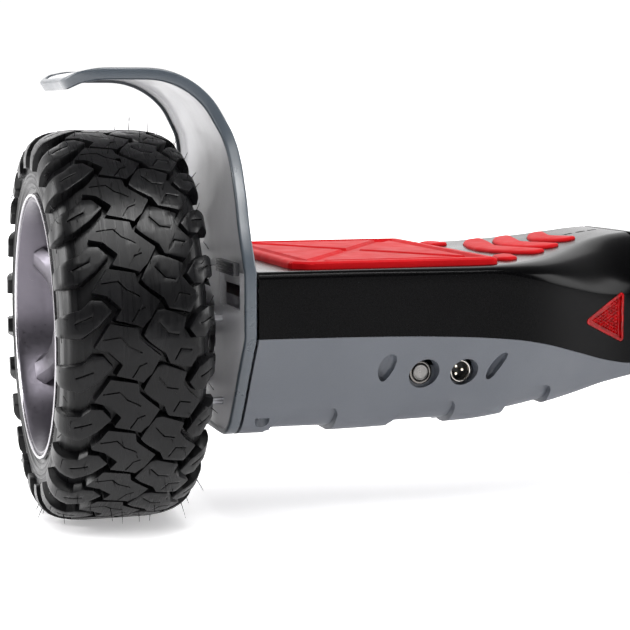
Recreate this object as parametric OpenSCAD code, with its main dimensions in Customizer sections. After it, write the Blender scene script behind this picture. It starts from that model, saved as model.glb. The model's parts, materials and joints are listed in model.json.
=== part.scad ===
// Self balancing board with two hub-motor wheels, twisting halves, foot mats and wheel arches.
// Units are millimetres. Origin on the floor midway between the wheels.
// +X runs along the axle, +Y is the direction of travel, +Z is up.
// Left and right are the rider's, facing +Y.

/* [Wheels] */
// Tyre outside radius
tyre_r = 108; // [80:1:130]
// Tyre section width
tyre_w = 82; // [50:1:100]
// Half of the distance between the wheel centres
wheel_x = 308.8; // [250:0.1:360]
// Radius of the visible rim lip
rim_lip_r = 73.5; // [60:0.5:90]
// Number of tread pitches round the tyre
tread_n = 24; // [16:1:32]
// Depth of the tread notches
tread_depth = 5; // [2:0.5:8]

/* [Body] */
// Half width of the foot deck, front to back
deck_half = 92.4; // [80:0.1:110]
// Height of the foot deck above the floor
deck_z = 142.8; // [130:0.1:160]
// Height of the top of the body at the centre
crown_z = 155.6; // [145:0.1:175]
// Half width of the waist at the centre
waist_half = 64; // [50:1:80]
// Where each shell ends, next to its wheel
body_end = 244; // [230:1:255]
// Half of the gap between the two halves
centre_gap = 1.2; // [0.5:0.1:3]
// Skin thickness of the moulded shells
skin = 2.6; // [1.5:0.1:4]

/* [Wheel arch] */
// Height of the top of the wheel arch
arch_top = 249; // [235:1:270]
// Where the wheel arch ends, over the tyre
arch_end = 338; // [300:1:350]
// Thickness of the wheel arch
arch_t = 4.5; // [3:0.1:8]
// Half width of the wheel arch at the top
arch_half = 54; // [40:1:80]

/* [Foot mats and grips] */
// Half width of each foot mat
mat_half = 82; // [60:1:88]
// Inner end of each foot mat
mat_in = 104; // [95:1:120]
// Outer end of each foot mat
mat_out = 222; // [200:1:235]
// Height of the raised border and ribs over the deck
mat_rise = 4; // [2:0.5:6]
// Width of the raised border and ribs
rib_w = 7; // [4:0.5:12]
// Stroke of a foot mat on its switches
mat_stroke = 1.5; // [0.5:0.1:2]

/* [Pivot and axles] */
// Outside radius of the hollow pivot tube
pivot_r = 17; // [12:0.5:22]
// Radial running clearance of the pivot tube in its bush
pivot_clear = 0.05; // [0.01:0.01:0.10]
// Radius of the motor axle
axle_r = 8; // [6:0.5:12]
// Half length of the pivot tube
pivot_half = 54; // [40:1:70]

/* [Controls] */
// Distance of the power button from the centre plane
button_x = 146.3; // [120:0.1:200]
// Distance of the charging socket from the centre plane
socket_x = 123.1; // [100:0.1:180]
// Height of the power button and the charging socket
port_z = 83.6; // [75:0.1:95]
// Radius of the bezel round the power button
bezel_r = 7; // [5:0.5:10]
// Radius of the power button cap
cap_r = 4.6; // [3:0.1:7]
// Stroke of the power button
cap_stroke = 1.5; // [0.5:0.1:2]

/* [Hidden] */
axle_z = tyre_r;
port_face = 70;
mat_base = deck_z + 2.2;
mat_low = deck_z - skin - 2.4;
screw_xs = [122, 175, 225];
cap_screw_y = 40;
cap_screw_z = [68, 114];
station_list = [centre_gap, 12, 24, 36, 48, 60, 72, 84, 98, 112, 130, 150, 180, 210, body_end];

// Smooth step from 0 to 1
function ramp(t) = let (u = min(1, max(0, t))) u * u * (3 - 2 * u);
// Height of the top line at a distance s from the centre plane
function top_z(s) = deck_z + (crown_z - deck_z) * lookup(s,
  [[0, 1], [9, 0.95], [24, 0.79], [39, 0.586], [54, 0.39], [69, 0.219], [84, 0.11],
   [99, 0.04], [124, 0]]);
// Half width of the body at its widest
function wide_y(s) = waist_half + (deck_half - waist_half) * ramp(s / 100);
// Width, height and roundness of the shoulder between the top and the side
function shoulder_w(s) = 4 + 4 * ramp((200 - s) / 100) + 27 * ramp((95 - s) / 75);
function shoulder_h(s) = 4 + 28 * ramp((95 - s) / 85);
function shoulder_n(s) = 2 - 0.65 * ramp((90 - s) / 80);
// Height of the parting line between the two shells
function part_z(s) = lookup(s, [[0, 82], [15, 82.6], [31, 85.3], [57, 92.6], [80, 98.9],
  [98, 102.2], [132, 105.1], [171, 106.7], [204, 107.3], [body_end, 107.7]]);
// Height of the underside
function under_z(s) = lookup(s, [[0, 76], [28, 71], [51, 64], [84, 56], [114, 51],
  [154, 49.4], [187, 48.6], [body_end, 49]]);
// Quarter shoulder points from the side up to the top
function shoulder(s, d) = [for (i = [0 : 6]) let (a = 15 * i, e = 2 / shoulder_n(s))
  [wide_y(s) + d - shoulder_w(s) * (1 - pow(cos(a), e)),
   top_z(s) + d - shoulder_h(s) * (1 - pow(sin(a), e))]];
// Section of the upper body, grown by d, cut off below at z0
function upper_half(s, d, z0) = concat([[wide_y(s) + d, z0]], shoulder(s, d));
// Section of the lower body, grown by d, cut off above at z1
function lower_half(s, d, z1) = let (k = (part_z(s) - under_z(s)) / 58, w = wide_y(s),
  p = part_z(s), u = under_z(s) - d)
  [[w + d, z1], [w + d, min(z1, p)], [w - 14 * k + d * 0.83, p - 20.5 * k - d * 0.56],
   [w - 28 * k + d * 0.83, p - 42 * k - d * 0.56], [w - 35 * k + d * 0.7, p - 51 * k - d * 0.8],
   [w - 43 * k + d * 0.5, p - 56 * k - d * 0.9], [w - 52 * k, u]];
// A half section and its mirror image, as one outline
function both(h) = concat(h, [for (i = [len(h) - 1 : -1 : 0]) [-h[i][0], h[i][1]]]);

module slab(x, points) {
  translate([x, 0, 0])
    rotate([90, 0, 90])
      linear_extrude(0.02)
        polygon(points);
}

// Upper body shape from the centre to the wheel end, grown by d
module upper_form(d, x0, x1, z_drop) {
  s = [x0, for (v = station_list) if (v > x0 + 2 && v < x1 - 2) v, x1];
  for (i = [0 : len(s) - 2])
    hull() {
      slab(s[i], both(upper_half(s[i], d, part_z(s[i]) - z_drop)));
      slab(s[i + 1], both(upper_half(s[i + 1], d, part_z(s[i + 1]) - z_drop)));
    }
}

// Lower body shape from the centre to the wheel end, grown by d
module lower_form(d, x0, x1, z_lift) {
  s = [x0, for (v = station_list) if (v > x0 + 2 && v < x1 - 2) v, x1];
  for (i = [0 : len(s) - 2])
    hull() {
      slab(s[i], both(lower_half(s[i], d, part_z(s[i]) + z_lift)));
      slab(s[i + 1], both(lower_half(s[i + 1], d, part_z(s[i + 1]) + z_lift)));
    }
}

// Puts a right-hand shape on the side it is wanted
module side(sd) {
  mirror([sd < 0 ? 1 : 0, 0, 0]) children();
}

// Cylinder along X from x0 to x1 at the height of the axle
module x_cyl(r, x0, x1) {
  translate([x0, 0, axle_z])
    rotate([0, 90, 0])
      cylinder(r = r, h = x1 - x0);
}

// Cylinder along Y from y0 to y1
module y_cyl(r, x, z, y0, y1) {
  translate([x, y0, z])
    rotate([-90, 0, 0])
      cylinder(r = r, h = y1 - y0);
}

// Solid of revolution about the axle from points [distance along X, radius]
module x_turn(points) {
  translate([0, 0, axle_z])
    rotate([0, 90, 0])
      rotate_extrude($fn = 96)
        polygon([for (p = points) [p[1], p[0]]]);
}

// ---- foot mat and grips ----
module mat_outline(grow) {
  offset(delta = grow)
    offset(r = 5, $fn = 24)
      offset(delta = -5)
        polygon([[mat_out, -mat_half + 9], [mat_out - 9, -mat_half], [mat_in, -mat_half],
          [mat_in, mat_half], [mat_out - 9, mat_half], [mat_out, mat_half - 9]]);
}

module rib(a, b) {
  d = b - a;
  translate(a)
    rotate(atan2(d[1], d[0]))
      translate([0, -rib_w / 2])
        square([norm(d), rib_w]);
}

// Crossing channels between the four raised fields
module mat_channels() {
  for (m = [-1, 1])
    rib([mat_in + 12, m * (mat_half - 8)], [mat_out - 12, -m * (mat_half - 8)]);
}

module foot_mat(sd) {
  side(sd) {
    translate([0, 0, mat_low])
      linear_extrude(1.5)
        mat_outline(1.6);
    translate([0, 0, mat_low + 1.45])
      linear_extrude(mat_base - mat_low - 1.45)
        mat_outline(0);
    translate([0, 0, mat_base - 0.05])
      linear_extrude(mat_rise - 2.2 + 0.05)
        difference() {
          mat_outline(0);
          difference() {
            mat_outline(-rib_w);
            difference() {
              mat_outline(-rib_w - 4);
              mat_channels();
            }
          }
        }
  }
}

// Chevrons [point, width, set back, reach, tip width] and pills, seen from above
module grip_outline(grow) {
  offset(delta = grow)
    offset(r = 3.5, $fn = 20)
      offset(delta = -3.5)
        union() {
          for (c = [[86, 14, 15, 52, 9], [69, 13, 13, 41, 8], [49.5, 12, 11, 28, 7]])
            polygon([[c[0], -6], [c[0] - c[2], -c[3]], [c[0] - c[2] - c[4], -c[3] + 4],
              [c[0] - c[1], 0], [c[0] - c[2] - c[4], c[3] - 4], [c[0] - c[2], c[3]],
              [c[0], 6]]);
          for (m = [-1, 1])
            polygon([[97.5, m * 62], [94.5, m * 47], [86, m * 43], [83, m * 50], [86, m * 65],
              [93, m * 69]]);
        }
}

module grip_insert(sd) {
  side(sd) {
    intersection() {
      difference() {
        upper_form(1.6, 20, 110, 0);
        upper_form(-4.4, 16, 114, 4);
      }
      translate([0, 0, 120])
        linear_extrude(50)
          grip_outline(-0.2);
    }
    intersection() {
      difference() {
        upper_form(-skin - 0.15, 20, 110, 0);
        upper_form(-4.4, 16, 114, 4);
      }
      translate([0, 0, 120])
        linear_extrude(50)
          polygon([[101.8, -76], [88, -78], [31, -42], [31, 42], [88, 78], [101.8, 76]]);
    }
  }
}

// Three short slits for the status lamps
module slits(grow) {
  for (x = [9, 16.5, 25])
    translate([x, 0])
      offset(delta = grow)
        square([6, 1.7], center = true);
}

module status_window(sd) {
  side(sd) {
    translate([0, 0, 146.2])
      linear_extrude(1.6)
        translate([17.3, 0])
          square([25.4, 9], center = true);
    for (x = [9, 16.5, 25])
      translate([x, 0, 147.4])
        linear_extrude(top_z(x) - 147.4 - 0.5)
          square([5.7, 1.4], center = true);
  }
}

// Triangular lamp, pointing to the wheel, on the face of sign m
module lamp_outline(grow) {
  offset(r = 1.8 + grow, $fn = 24)
    offset(delta = -1.8)
      polygon([[51.5, 108.6], [20.8, 125], [20.8, 94.4]]);
}

module lamp_column(grow, m, y0, y1) {
  translate([0, m * (m > 0 ? y1 : y0), 0])
    rotate([90, 0, 0])
      linear_extrude(y1 - y0)
        lamp_outline(grow);
}

module lamp(sd, m) {
  side(sd)
    intersection() {
      difference() {
        upper_form(0.6, 16, 62, 0);
        upper_form(-4.2, 12, 66, 4);
      }
      lamp_column(-0.2, m, 50, 90);
    }
}

module upper_shell(sd) {
  side(sd)
    difference() {
      upper_form(0, centre_gap, body_end, -0.1);
      upper_form(-skin, centre_gap + 3, body_end + 1, 6);
      translate([0, 0, 120])
        linear_extrude(50)
          mat_outline(0.5);
      translate([0, 0, 120])
        linear_extrude(50)
          grip_outline(0.05);
      translate([0, 0, 140])
        linear_extrude(50)
          slits(0.1);
      for (m = [-1, 1])
        lamp_column(0.05, m, 50, 95);
      x_cyl(27.5, 0, 10, $fn = 48);
    }
}

// ---- lower shell ----
// Shallow finger scallops along the bottom edge, grown by d
module scallops(m, d) {
  for (c = [[209, 13], [138.5, 13], [78, 8]]) {
    k = (part_z(c[0]) - under_z(c[0])) / 58;
    hull()
      for (e = [-1, 1])
        translate([c[0] + e * c[1], m * (wide_y(c[0]) - 38.2 * k), part_z(c[0]) - 54.3 * k])
          rotate([m * 45, 0, 0])
            scale([(6 + d) / 6, (11 + d) / 6, (3.1 + d) / 6])
              sphere(r = 6, $fn = 14);
  }
}

module lower_shell(sd) {
  side(sd)
    difference() {
      lower_form(0, centre_gap, body_end, -0.1);
      difference() {
        lower_form(-skin, centre_gap + 3, body_end + 1, 6);
        if (sd < 0)
          for (x = [button_x, socket_x])
            y_cyl(10.5, x, port_z, -100, -port_face + 3.2, $fn = 48);
        for (x = screw_xs)
          for (m = [-1, 1])
            translate([x, m * 33, 40])
              cylinder(r = 5, h = 14.4, $fn = 20);
        for (m = [-1, 1])
          scallops(m, 2);
      }
      if (sd < 0)
        for (x = [button_x, socket_x]) {
          y_cyl(x == socket_x ? 7.9 : 8.6, x, port_z, -100, -port_face, $fn = 48);
          y_cyl(x == socket_x ? 6.05 : 5.85, x, port_z, -100, -60, $fn = 48);
        }
      for (m = [-1, 1]) {
        scallops(m, 0);
        for (c = [[169.8, 89.5, 12], [105.1, 86.6, -12]])
          translate([c[0], m * (wide_y(c[0]) - 11.2), c[1]])
            rotate([m * -30, c[2], 0])
              scale([0.55, 0.4, 1])
                sphere(r = 7, $fn = 16);
      }
      for (x = screw_xs)
        for (m = [-1, 1])
          translate([x, m * 33, under_z(x) - 10]) {
            cylinder(r = 1.7, h = 20, $fn = 20);
            cylinder(r = 3.4, h = 12, $fn = 24);
          }
      x_cyl(27.5, 0, 10, $fn = 48);
    }
}

// ---- end cap and wheel arch ----
// Outline of the end cap seen along the axle, pulled in by d
module cap_slab(x, d) {
  w = deck_half - d;
  translate([x, 0, 0])
    rotate([90, 0, 90])
      linear_extrude(0.02)
        polygon(both(concat([[w - 3, deck_z - d], [w, deck_z - d - 3]],
          [for (p = lower_half(body_end, -d, deck_z - d - 3)) if (p[1] <= 107.8) p])));
}

module cap_form(rows) {
  for (i = [0 : len(rows) - 2])
    hull() {
      cap_slab(rows[i][0], rows[i][1]);
      cap_slab(rows[i + 1][0], rows[i + 1][1]);
    }
}

// Side view of the arch, from the deck up, as half widths
arch_side = [[deck_half, 100], [deck_half, 143], [88, 160], [75, 181], [66, 194.6], [62, 204],
  [58, 213.4], [56, 223], [55, 229.5], [arch_half, 236], [arch_half, arch_top + 2]];
// Line of the arch in section along the axle
arch_line = concat(
  [[body_end + 1, 100], [body_end + 1, 140], [246.8, 160], [245.2, 181], [244.8, 194.6],
   [245.6, 204], [247.8, 213.4], [252.6, 223]],
  [for (a = [35 : 9 : 89]) [257.5 + 45 * (cos(35) - cos(a + 0.5)) * 1.02 - 1,
    arch_top - 45 * (1 - sin(a + 0.5))]],
  [[arch_end - 22, arch_top], [arch_end - 8, arch_top - 2.5], [arch_end, arch_top - 7]]);

module arch_band() {
  intersection() {
    translate([0, 120, 0])
      rotate([90, 0, 0])
        linear_extrude(240)
          difference() {
            polygon(concat(arch_line, [[arch_end, 90], [body_end + 1, 90]]));
            offset(delta = -arch_t)
              polygon(concat(arch_line, [[arch_end + 20, arch_top - 9], [arch_end + 20, 70],
                [body_end + 1, 70]]));
            translate([220, 60])
              square([200, 76]);
          }
    rotate([90, 0, 90])
      linear_extrude(400)
        polygon(both(arch_side));
  }
}

module fender(sd) {
  side(sd)
    difference() {
      union() {
        difference() {
          cap_form([[body_end + 1, 0], [251.5, 0], [251.9, 2.2], [256, 3.2], [259.5, 6], [262, 11]]);
          cap_form([[body_end - 1, 3], [251.5, 3], [255, 5.6], [257.5, 9], [259.2, 14]]);
        }
        arch_band();
      }
      for (m = [-1, 1]) {
        translate([244, m > 0 ? 37 : -78, 121])
          cube([30, 41, 18.7]);
        translate([250.2, m > 0 ? 39.2 : -77.8, 139.6])
          cube([20, 38.6, 7.4]);
      }
      x_cyl(26, 230, 270, $fn = 64);
      for (m = [-1, 1])
        for (z = cap_screw_z)
          translate([250, m * cap_screw_y, z])
            rotate([0, 90, 0])
              cylinder(r = 2.2, h = 20, $fn = 24);
    }
}

// Latch bars that hold the end cap, above the slots at the front and at the back
module fender_clips(sd) {
  side(sd)
    for (m = [-1, 1])
      translate([250.4, m > 0 ? 39.5 : -77.5, 139.8])
        difference() {
          cube([3.6, 38, 7]);
          for (k = [0 : 3])
            translate([3, -1, 1.1 + 1.4 * k])
              cube([3, 40, 0.6]);
        }
}

module fender_screws(sd) {
  side(sd)
    for (m = [-1, 1])
      for (z = cap_screw_z)
        translate([222, m * cap_screw_y, z])
          rotate([0, 90, 0]) {
            cylinder(r = 2, h = 40.2);
            translate([0, 0, 40.2])
              difference() {
                cylinder(r = 3.6, h = 1.8);
                translate([0, 0, 0.7])
                  cylinder(r = 1.5, h = 2, $fn = 6);
              }
          }
}

// ---- frame and inner parts ----
module chassis(sd) {
  side(sd)
    difference() {
      union() {
        translate([66, -62, 120])
          cube([172, 124, 4]);
        translate([98, -42, 56.8])
          cube([140, 84, 3.7]);
        translate([112, -42, 54.5])
          cube([126, 84, 6]);
        for (m = [-1, 1])
          translate([66, m > 0 ? 38 : -42, 80])
            cube([172, 4, 41]);
        for (m = [-1, 1])
          translate([98, m > 0 ? 38 : -42, 59])
            cube([140, 4, 22]);
        translate([60, -42, 80])
          cube([7, 84, 44]);
        translate([214, -46, axle_z + 0.3])
          cube([24, 92, 12.5]);
        for (m = [-1, 1])
          translate([214, m * cap_screw_y, cap_screw_z[0]])
            rotate([0, 90, 0])
              cylinder(r = 5.5, h = 24);
        x_cyl(26.5, 5, 62);
      }
      x_cyl(sd < 0 ? pivot_r : pivot_r + 3, 4, 68);
      x_cyl(axle_r + 0.02, 205, 245);
      for (m = [-1, 1]) {
        for (z = cap_screw_z)
          translate([218, m * cap_screw_y, z])
            rotate([0, 90, 0])
              cylinder(r = 2.05, h = 30);
        for (x = screw_xs)
          translate([x, m * 33, 50])
            cylinder(r = 1.65, h = 20);
      }
    }
}

module axle_clamp(sd) {
  side(sd)
    difference() {
      translate([216, -30, 88])
        cube([20, 60, axle_z - 88.3]);
      x_cyl(axle_r + 0.02, 205, 245);
      for (m = [-1, 1])
        translate([226, m * 21, 80])
          cylinder(r = 3, h = 40);
    }
}

module axle(sd) {
  side(sd)
    difference() {
      union() {
        x_cyl(axle_r, 214, wheel_x + 20);
        x_cyl(axle_r + 3, 264, 277.5);
      }
      for (m = [-1, 1])
        translate([210, -10, axle_z + (m > 0 ? 6.5 : -16.5)])
          cube([28, 20, 10]);
      x_cyl(2.5, 200, 290);
    }
}

module stator(sd) {
  side(sd)
    difference() {
      x_cyl(52.6, wheel_x - 12, wheel_x + 8);
      x_cyl(axle_r + 0.02, wheel_x - 20, wheel_x + 20);
      for (i = [0 : 8])
        translate([wheel_x - 13, 0, axle_z])
          rotate([40 * i, 0, 0])
            translate([0, -4, 22])
              cube([22, 8, 23]);
    }
}

module foot_switches(sd) {
  side(sd) {
    translate([120, -44, 124.4])
      cube([94, 88, 1.6]);
    for (x = [140, 194])
      for (m = [-1, 1])
        translate([x, m * 28, 125.9]) {
          cylinder(r = 8, h = 5);
          cylinder(r = 5, h = mat_low - mat_stroke - 0.3 - 125.9);
        }
  }
}

module gyro_board(sd) {
  side(sd) {
    translate([70, -20, 113])
      cube([26, 40, 1.6]);
    translate([77, -8, 110.6])
      cube([10, 10, 2.5]);
    for (m = [-1, 1])
      translate([74, m * 15, 114.5])
        cylinder(r = 2.5, h = 5.5);
  }
}

module shell_screws(sd) {
  side(sd)
    for (x = screw_xs)
      for (m = [-1, 1])
        translate([x, m * 33, under_z(x) + 0.2])
          difference() {
            union() {
              cylinder(r = 3.1, h = 1.7);
              cylinder(r = 1.6, h = 9.8);
            }
            translate([0, 0, -0.1])
              cylinder(r = 1.2, h = 1.2, $fn = 6);
          }
}

module main_board() {
  color(board_green) {
    side(-1) {
      translate([102, -34, 64])
        cube([92, 68, 1.6]);
      translate([112, -26, 65.5])
        cube([60, 14, 12]);
      translate([112, 8, 65.5])
        cube([30, 18, 9]);
      for (y = [-4, 4])
        translate([180, y * 4, 65.5])
          cylinder(r = 5, h = 18);
      for (x = [106, 190])
        for (y = [-30, 30])
          translate([x, y, 60.5])
            cylinder(r = 2.5, h = 3.6);
    }
  }
}

module battery_pack() {
  color([0.1, 0.2, 0.5]) {
    difference() {
      translate([102, -36, 62])
        cube([106, 72, 50]);
      for (m = [-1, 1])
        for (x = [102, 208])
          translate([x, m * 36, 60])
            rotate(45)
              cube([5, 5, 120], center = true);
    }
    for (x = [124, 186])
      difference() {
        translate([x - 6, -37.2, 61])
          cube([12, 74.4, 52.2]);
        translate([x - 7, -36, 62])
          cube([14, 72, 50]);
      }
  }
}

module speaker() {
  color(black) {
    side(-1) {
      translate([205, 0, 60.5])
        cylinder(r = 8, h = 5);
      translate([205, 0, 65.5])
        cylinder(r1 = 10, r2 = 16, h = 8);
    }
  }
}

module power_button_housing() {
  color(steel) {
    translate([-button_x, -port_face, port_z])
      rotate([90, 0, 0])
        difference() {
          union() {
            cylinder(r = bezel_r, h = 1.6);
            translate([0, 0, -14])
              cylinder(r = 5.8, h = 14.1);
            translate([0, 0, -10.6])
              cylinder(r = 7.5, h = 3);
          }
          translate([0, 0, -7.5 - cap_stroke])
            cylinder(r = cap_r + 0.05, h = 20);
        }
  }
}

module power_button_cap() {
  color(steel) {
    translate([-button_x, -port_face, port_z])
      rotate([90, 0, 0]) {
        translate([0, 0, -6])
          cylinder(r = cap_r, h = 7.4);
        translate([0, 0, 1.3])
          cylinder(r1 = cap_r, r2 = cap_r - 0.5, h = 0.7);
      }
  }
}

module charge_socket() {
  color(silver) {
    translate([-socket_x, -port_face, port_z])
      rotate([90, 0, 0])
        difference() {
          union() {
            cylinder(r = bezel_r, h = 2.6);
            translate([0, 0, -12])
              cylinder(r = 6, h = 12.1);
            translate([0, 0, -10.6])
              cylinder(r = 7.5, h = 3);
          }
          translate([0, 0, -11])
            cylinder(r = 4.9, h = 20);
          for (a = [0, 120, 240])
            rotate(a)
              translate([2.4, 0, -13])
                cylinder(r = 0.72, h = 4);
        }
  }
}

module charge_insert() {
  color(black) {
    translate([-socket_x, -port_face, port_z])
      rotate([90, 0, 0])
        translate([0, 0, -11])
          difference() {
            cylinder(r = 4.9, h = 5);
            for (a = [0, 120, 240])
              rotate(a)
                translate([2.4, 0, -1])
                  cylinder(r = 0.7, h = 10);
          }
  }
}

module charge_pins() {
  color(steel) {
    translate([-socket_x, -port_face, port_z])
      rotate([90, 0, 0])
        for (a = [0, 120, 240])
          rotate(a)
            translate([2.4, 0, -15])
              cylinder(r = 0.7, h = 14);
  }
}

// ---- centre pivot ----
module pivot_tube() {
  color(steel) {
    difference() {
      x_cyl(pivot_r, -pivot_half, pivot_half);
      x_cyl(pivot_r - 5, -pivot_half - 1, pivot_half + 1);
      difference() {
        x_cyl(pivot_r + 1, 50.2, 51.8);
        x_cyl(pivot_r - 1, 50, 52);
      }
    }
  }
}

module pivot_bush() {
  color([0.7, 0.5, 0.2]) {
    difference() {
      union() {
        x_cyl(pivot_r + 3, 5, 49.8);
        x_cyl(pivot_r + 7, 1.2, 5);
      }
      x_cyl(pivot_r + pivot_clear, -1, 60);
    }
  }
}

module pivot_washer() {
  color(steel) {
    difference() {
      x_cyl(pivot_r + 7, -5, 1.1);
      x_cyl(pivot_r + 0.02, -10, 10);
    }
  }
}

module pivot_circlip() {
  color(steel) {
    difference() {
      x_cyl(pivot_r + 2.2, 50.25, 51.75);
      x_cyl(pivot_r - 0.95, 40, 60);
      translate([48, -3, axle_z + 10])
        cube([6, 6, 12]);
    }
  }
}

module link_cable() {
  color(black) {
    for (k = [[2.5, 3], [-3.2, 2.5]])
      translate([-62, k[0], axle_z - 2])
        rotate([0, 90, 0])
          cylinder(r = k[1], h = 124);
    translate([-70, -8, axle_z - 7])
      cube([9, 15, 9]);
    translate([61, -8, axle_z - 7])
      cube([9, 15, 9]);
  }
}

// ---- wheels ----
module tyre(sd) {
  w = tyre_w / 2;
  r = tyre_r;
  side(sd)
    difference() {
      translate([wheel_x, 0, 0])
        x_turn([[-36, 73], [-w + 1, 80], [-w, 92], [-w + 3, r - 6], [-w + 9, r - 1.6], [-16, r],
          [-3, r], [-2, r - 3], [2, r - 3], [3, r], [16, r], [w - 9, r - 1.6], [w - 3, r - 6],
          [w, 92], [w - 1, 80], [36, 73], [27, 73], [30, 82], [26, 93], [0, 96], [-26, 93],
          [-30, 82], [-27, 73]]);
      for (i = [0 : tread_n - 1])
        for (m = [-1, 1])
          translate([wheel_x, 0, axle_z])
            rotate([(i + (m > 0 ? 0.5 : 0)) * 360 / tread_n, 0, 0])
              translate([m * (w + 1.7), 0, r + 3])
                rotate([0, 0, m * 21])
                  cube([37.3, 6.7, 2 * tread_depth + 7], center = true);
    }
}

module rim(sd) {
  side(sd)
    difference() {
      translate([wheel_x, 0, 0])
        x_turn([[-37, 66], [-37, rim_lip_r], [-36.2, 72.9], [-24, 72.9], [-20, 69],
          [20, 69], [24, 72.9], [36.1, 72.9], [37, rim_lip_r], [39, rim_lip_r], [39, 70],
          [34, 66], [26, 60], [22, 26], [24, 24], [24, 0], [21, 0], [21, 8], [20.2, 17.5],
          [9.8, 17.5], [9.8, 21], [16, 30], [16, 58], [-20, 58], [-20, 63], [-28, 63],
          [-30, 66]]);
      for (i = [0 : 5])
        translate([wheel_x, 0, axle_z])
          rotate([60 * i, 0, 0])
            translate([19, 0, 0])
              rotate([0, 90, 0])
                linear_extrude(30)
                  offset(r = 3, $fn = 24)
                    polygon([[30, -3], [30, 3], [53, 17], [56, 8], [57, 0], [56, -8],
                      [53, -17]]);
    }
}

module hub_cover(sd) {
  side(sd)
    difference() {
      translate([wheel_x, 0, 0])
        x_turn([[-26, 62.9], [-20.1, 62.9], [-20.1, 24], [-17.8, 21], [-17.8, 17.5],
          [-28.2, 17.5], [-28.2, 14], [-30, 14], [-30, 24], [-26, 28]]);
      for (i = [0 : 5])
        translate([wheel_x - 40, 0, axle_z])
          rotate([60 * i, 0, 0])
            translate([0, 0, 56])
              rotate([0, 90, 0])
                cylinder(r = 2, h = 30);
    }
}

module magnet_ring(sd) {
  side(sd)
    difference() {
      x_cyl(57.95, wheel_x - 13, wheel_x + 9);
      x_cyl(53.6, wheel_x - 20, wheel_x + 20);
    }
}

module bearings(sd) {
  side(sd)
    for (x = [wheel_x - 28, wheel_x + 10])
      difference() {
        x_cyl(17.46, x, x + 10);
        x_cyl(axle_r + 0.02, x - 1, x + 11);
        difference() {
          x_cyl(15, x - 1, x + 0.6);
          x_cyl(11, x - 2, x + 2);
        }
        difference() {
          x_cyl(15, x + 9.4, x + 11);
          x_cyl(11, x + 8, x + 12);
        }
      }
}

grey = [0.40, 0.43, 0.46];
black = [0.03, 0.03, 0.035];
red = [0.85, 0.03, 0.06];
steel = [0.7, 0.7, 0.72];
rubber = [0.04, 0.04, 0.045];
board_green = [0.05, 0.3, 0.15];
silver = [0.66, 0.68, 0.7];

module left_upper_shell() { color(black) upper_shell(-1); }
module right_upper_shell() { color(black) upper_shell(1); }
module left_lower_shell() { color(grey) lower_shell(-1); }
module right_lower_shell() { color(grey) lower_shell(1); }
module left_fender() { color(silver) fender(-1); }
module right_fender() { color(silver) fender(1); }
module left_fender_clips() { color(black) fender_clips(-1); }
module right_fender_clips() { color(black) fender_clips(1); }
module left_foot_mat() { color(red) foot_mat(-1); }
module right_foot_mat() { color(red) foot_mat(1); }
module left_grip_insert() { color(red) grip_insert(-1); }
module right_grip_insert() { color(red) grip_insert(1); }
module left_rear_light() { color(red) lamp(-1, -1); }
module right_rear_light() { color(red) lamp(1, -1); }
module left_front_light() { color(silver) lamp(-1, 1); }
module right_front_light() { color(silver) lamp(1, 1); }
module left_status_window() { color(silver) status_window(-1); }
module right_status_window() { color(silver) status_window(1); }
module left_chassis() { color(silver) chassis(-1); }
module right_chassis() { color(silver) chassis(1); }
module left_axle_clamp() { color(silver) axle_clamp(-1); }
module right_axle_clamp() { color(silver) axle_clamp(1); }
module left_axle() { color(steel) axle(-1); }
module right_axle() { color(steel) axle(1); }
module left_stator() { color([0.5, 0.25, 0.12]) stator(-1); }
module right_stator() { color([0.5, 0.25, 0.12]) stator(1); }
module left_foot_switches() { color(board_green) foot_switches(-1); }
module right_foot_switches() { color(board_green) foot_switches(1); }
module left_gyro_board() { color(board_green) gyro_board(-1); }
module right_gyro_board() { color(board_green) gyro_board(1); }
module left_shell_screws() { color(steel) shell_screws(-1); }
module right_shell_screws() { color(steel) shell_screws(1); }
module left_fender_screws() { color(steel) fender_screws(-1); }
module right_fender_screws() { color(steel) fender_screws(1); }
module left_tyre() { color(rubber) tyre(-1); }
module right_tyre() { color(rubber) tyre(1); }
module left_rim() { color(silver) rim(-1); }
module right_rim() { color(silver) rim(1); }
module left_hub_cover() { color(silver) hub_cover(-1); }
module right_hub_cover() { color(silver) hub_cover(1); }
module left_magnet_ring() { color(steel) magnet_ring(-1); }
module right_magnet_ring() { color(steel) magnet_ring(1); }
module left_bearings() { color(steel) bearings(-1); }
module right_bearings() { color(steel) bearings(1); }

left_upper_shell();
left_lower_shell();
left_fender();
left_fender_clips();
left_foot_mat();
left_grip_insert();
left_rear_light();
left_front_light();
left_status_window();
left_chassis();
left_axle_clamp();
left_axle();
left_stator();
left_foot_switches();
left_gyro_board();
left_shell_screws();
left_fender_screws();
main_board();
speaker();
power_button_housing();
power_button_cap();
charge_socket();
charge_insert();
charge_pins();
pivot_tube();
pivot_washer();
pivot_circlip();
link_cable();
left_tyre();
left_rim();
left_hub_cover();
left_magnet_ring();
left_bearings();
right_upper_shell();
right_lower_shell();
right_fender();
right_fender_clips();
right_foot_mat();
right_grip_insert();
right_rear_light();
right_front_light();
right_status_window();
right_chassis();
right_axle_clamp();
right_axle();
right_stator();
right_foot_switches();
right_gyro_board();
right_shell_screws();
right_fender_screws();
battery_pack();
pivot_bush();
right_tyre();
right_rim();
right_hub_cover();
right_magnet_ring();
right_bearings();
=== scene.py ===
"""Looks of the self balancing board: camera, studio, detailed pieces and materials."""

import json
import math
import random

import bmesh
import bpy
import numpy as np
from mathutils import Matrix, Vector
from mathutils.bvhtree import BVHTree


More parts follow.
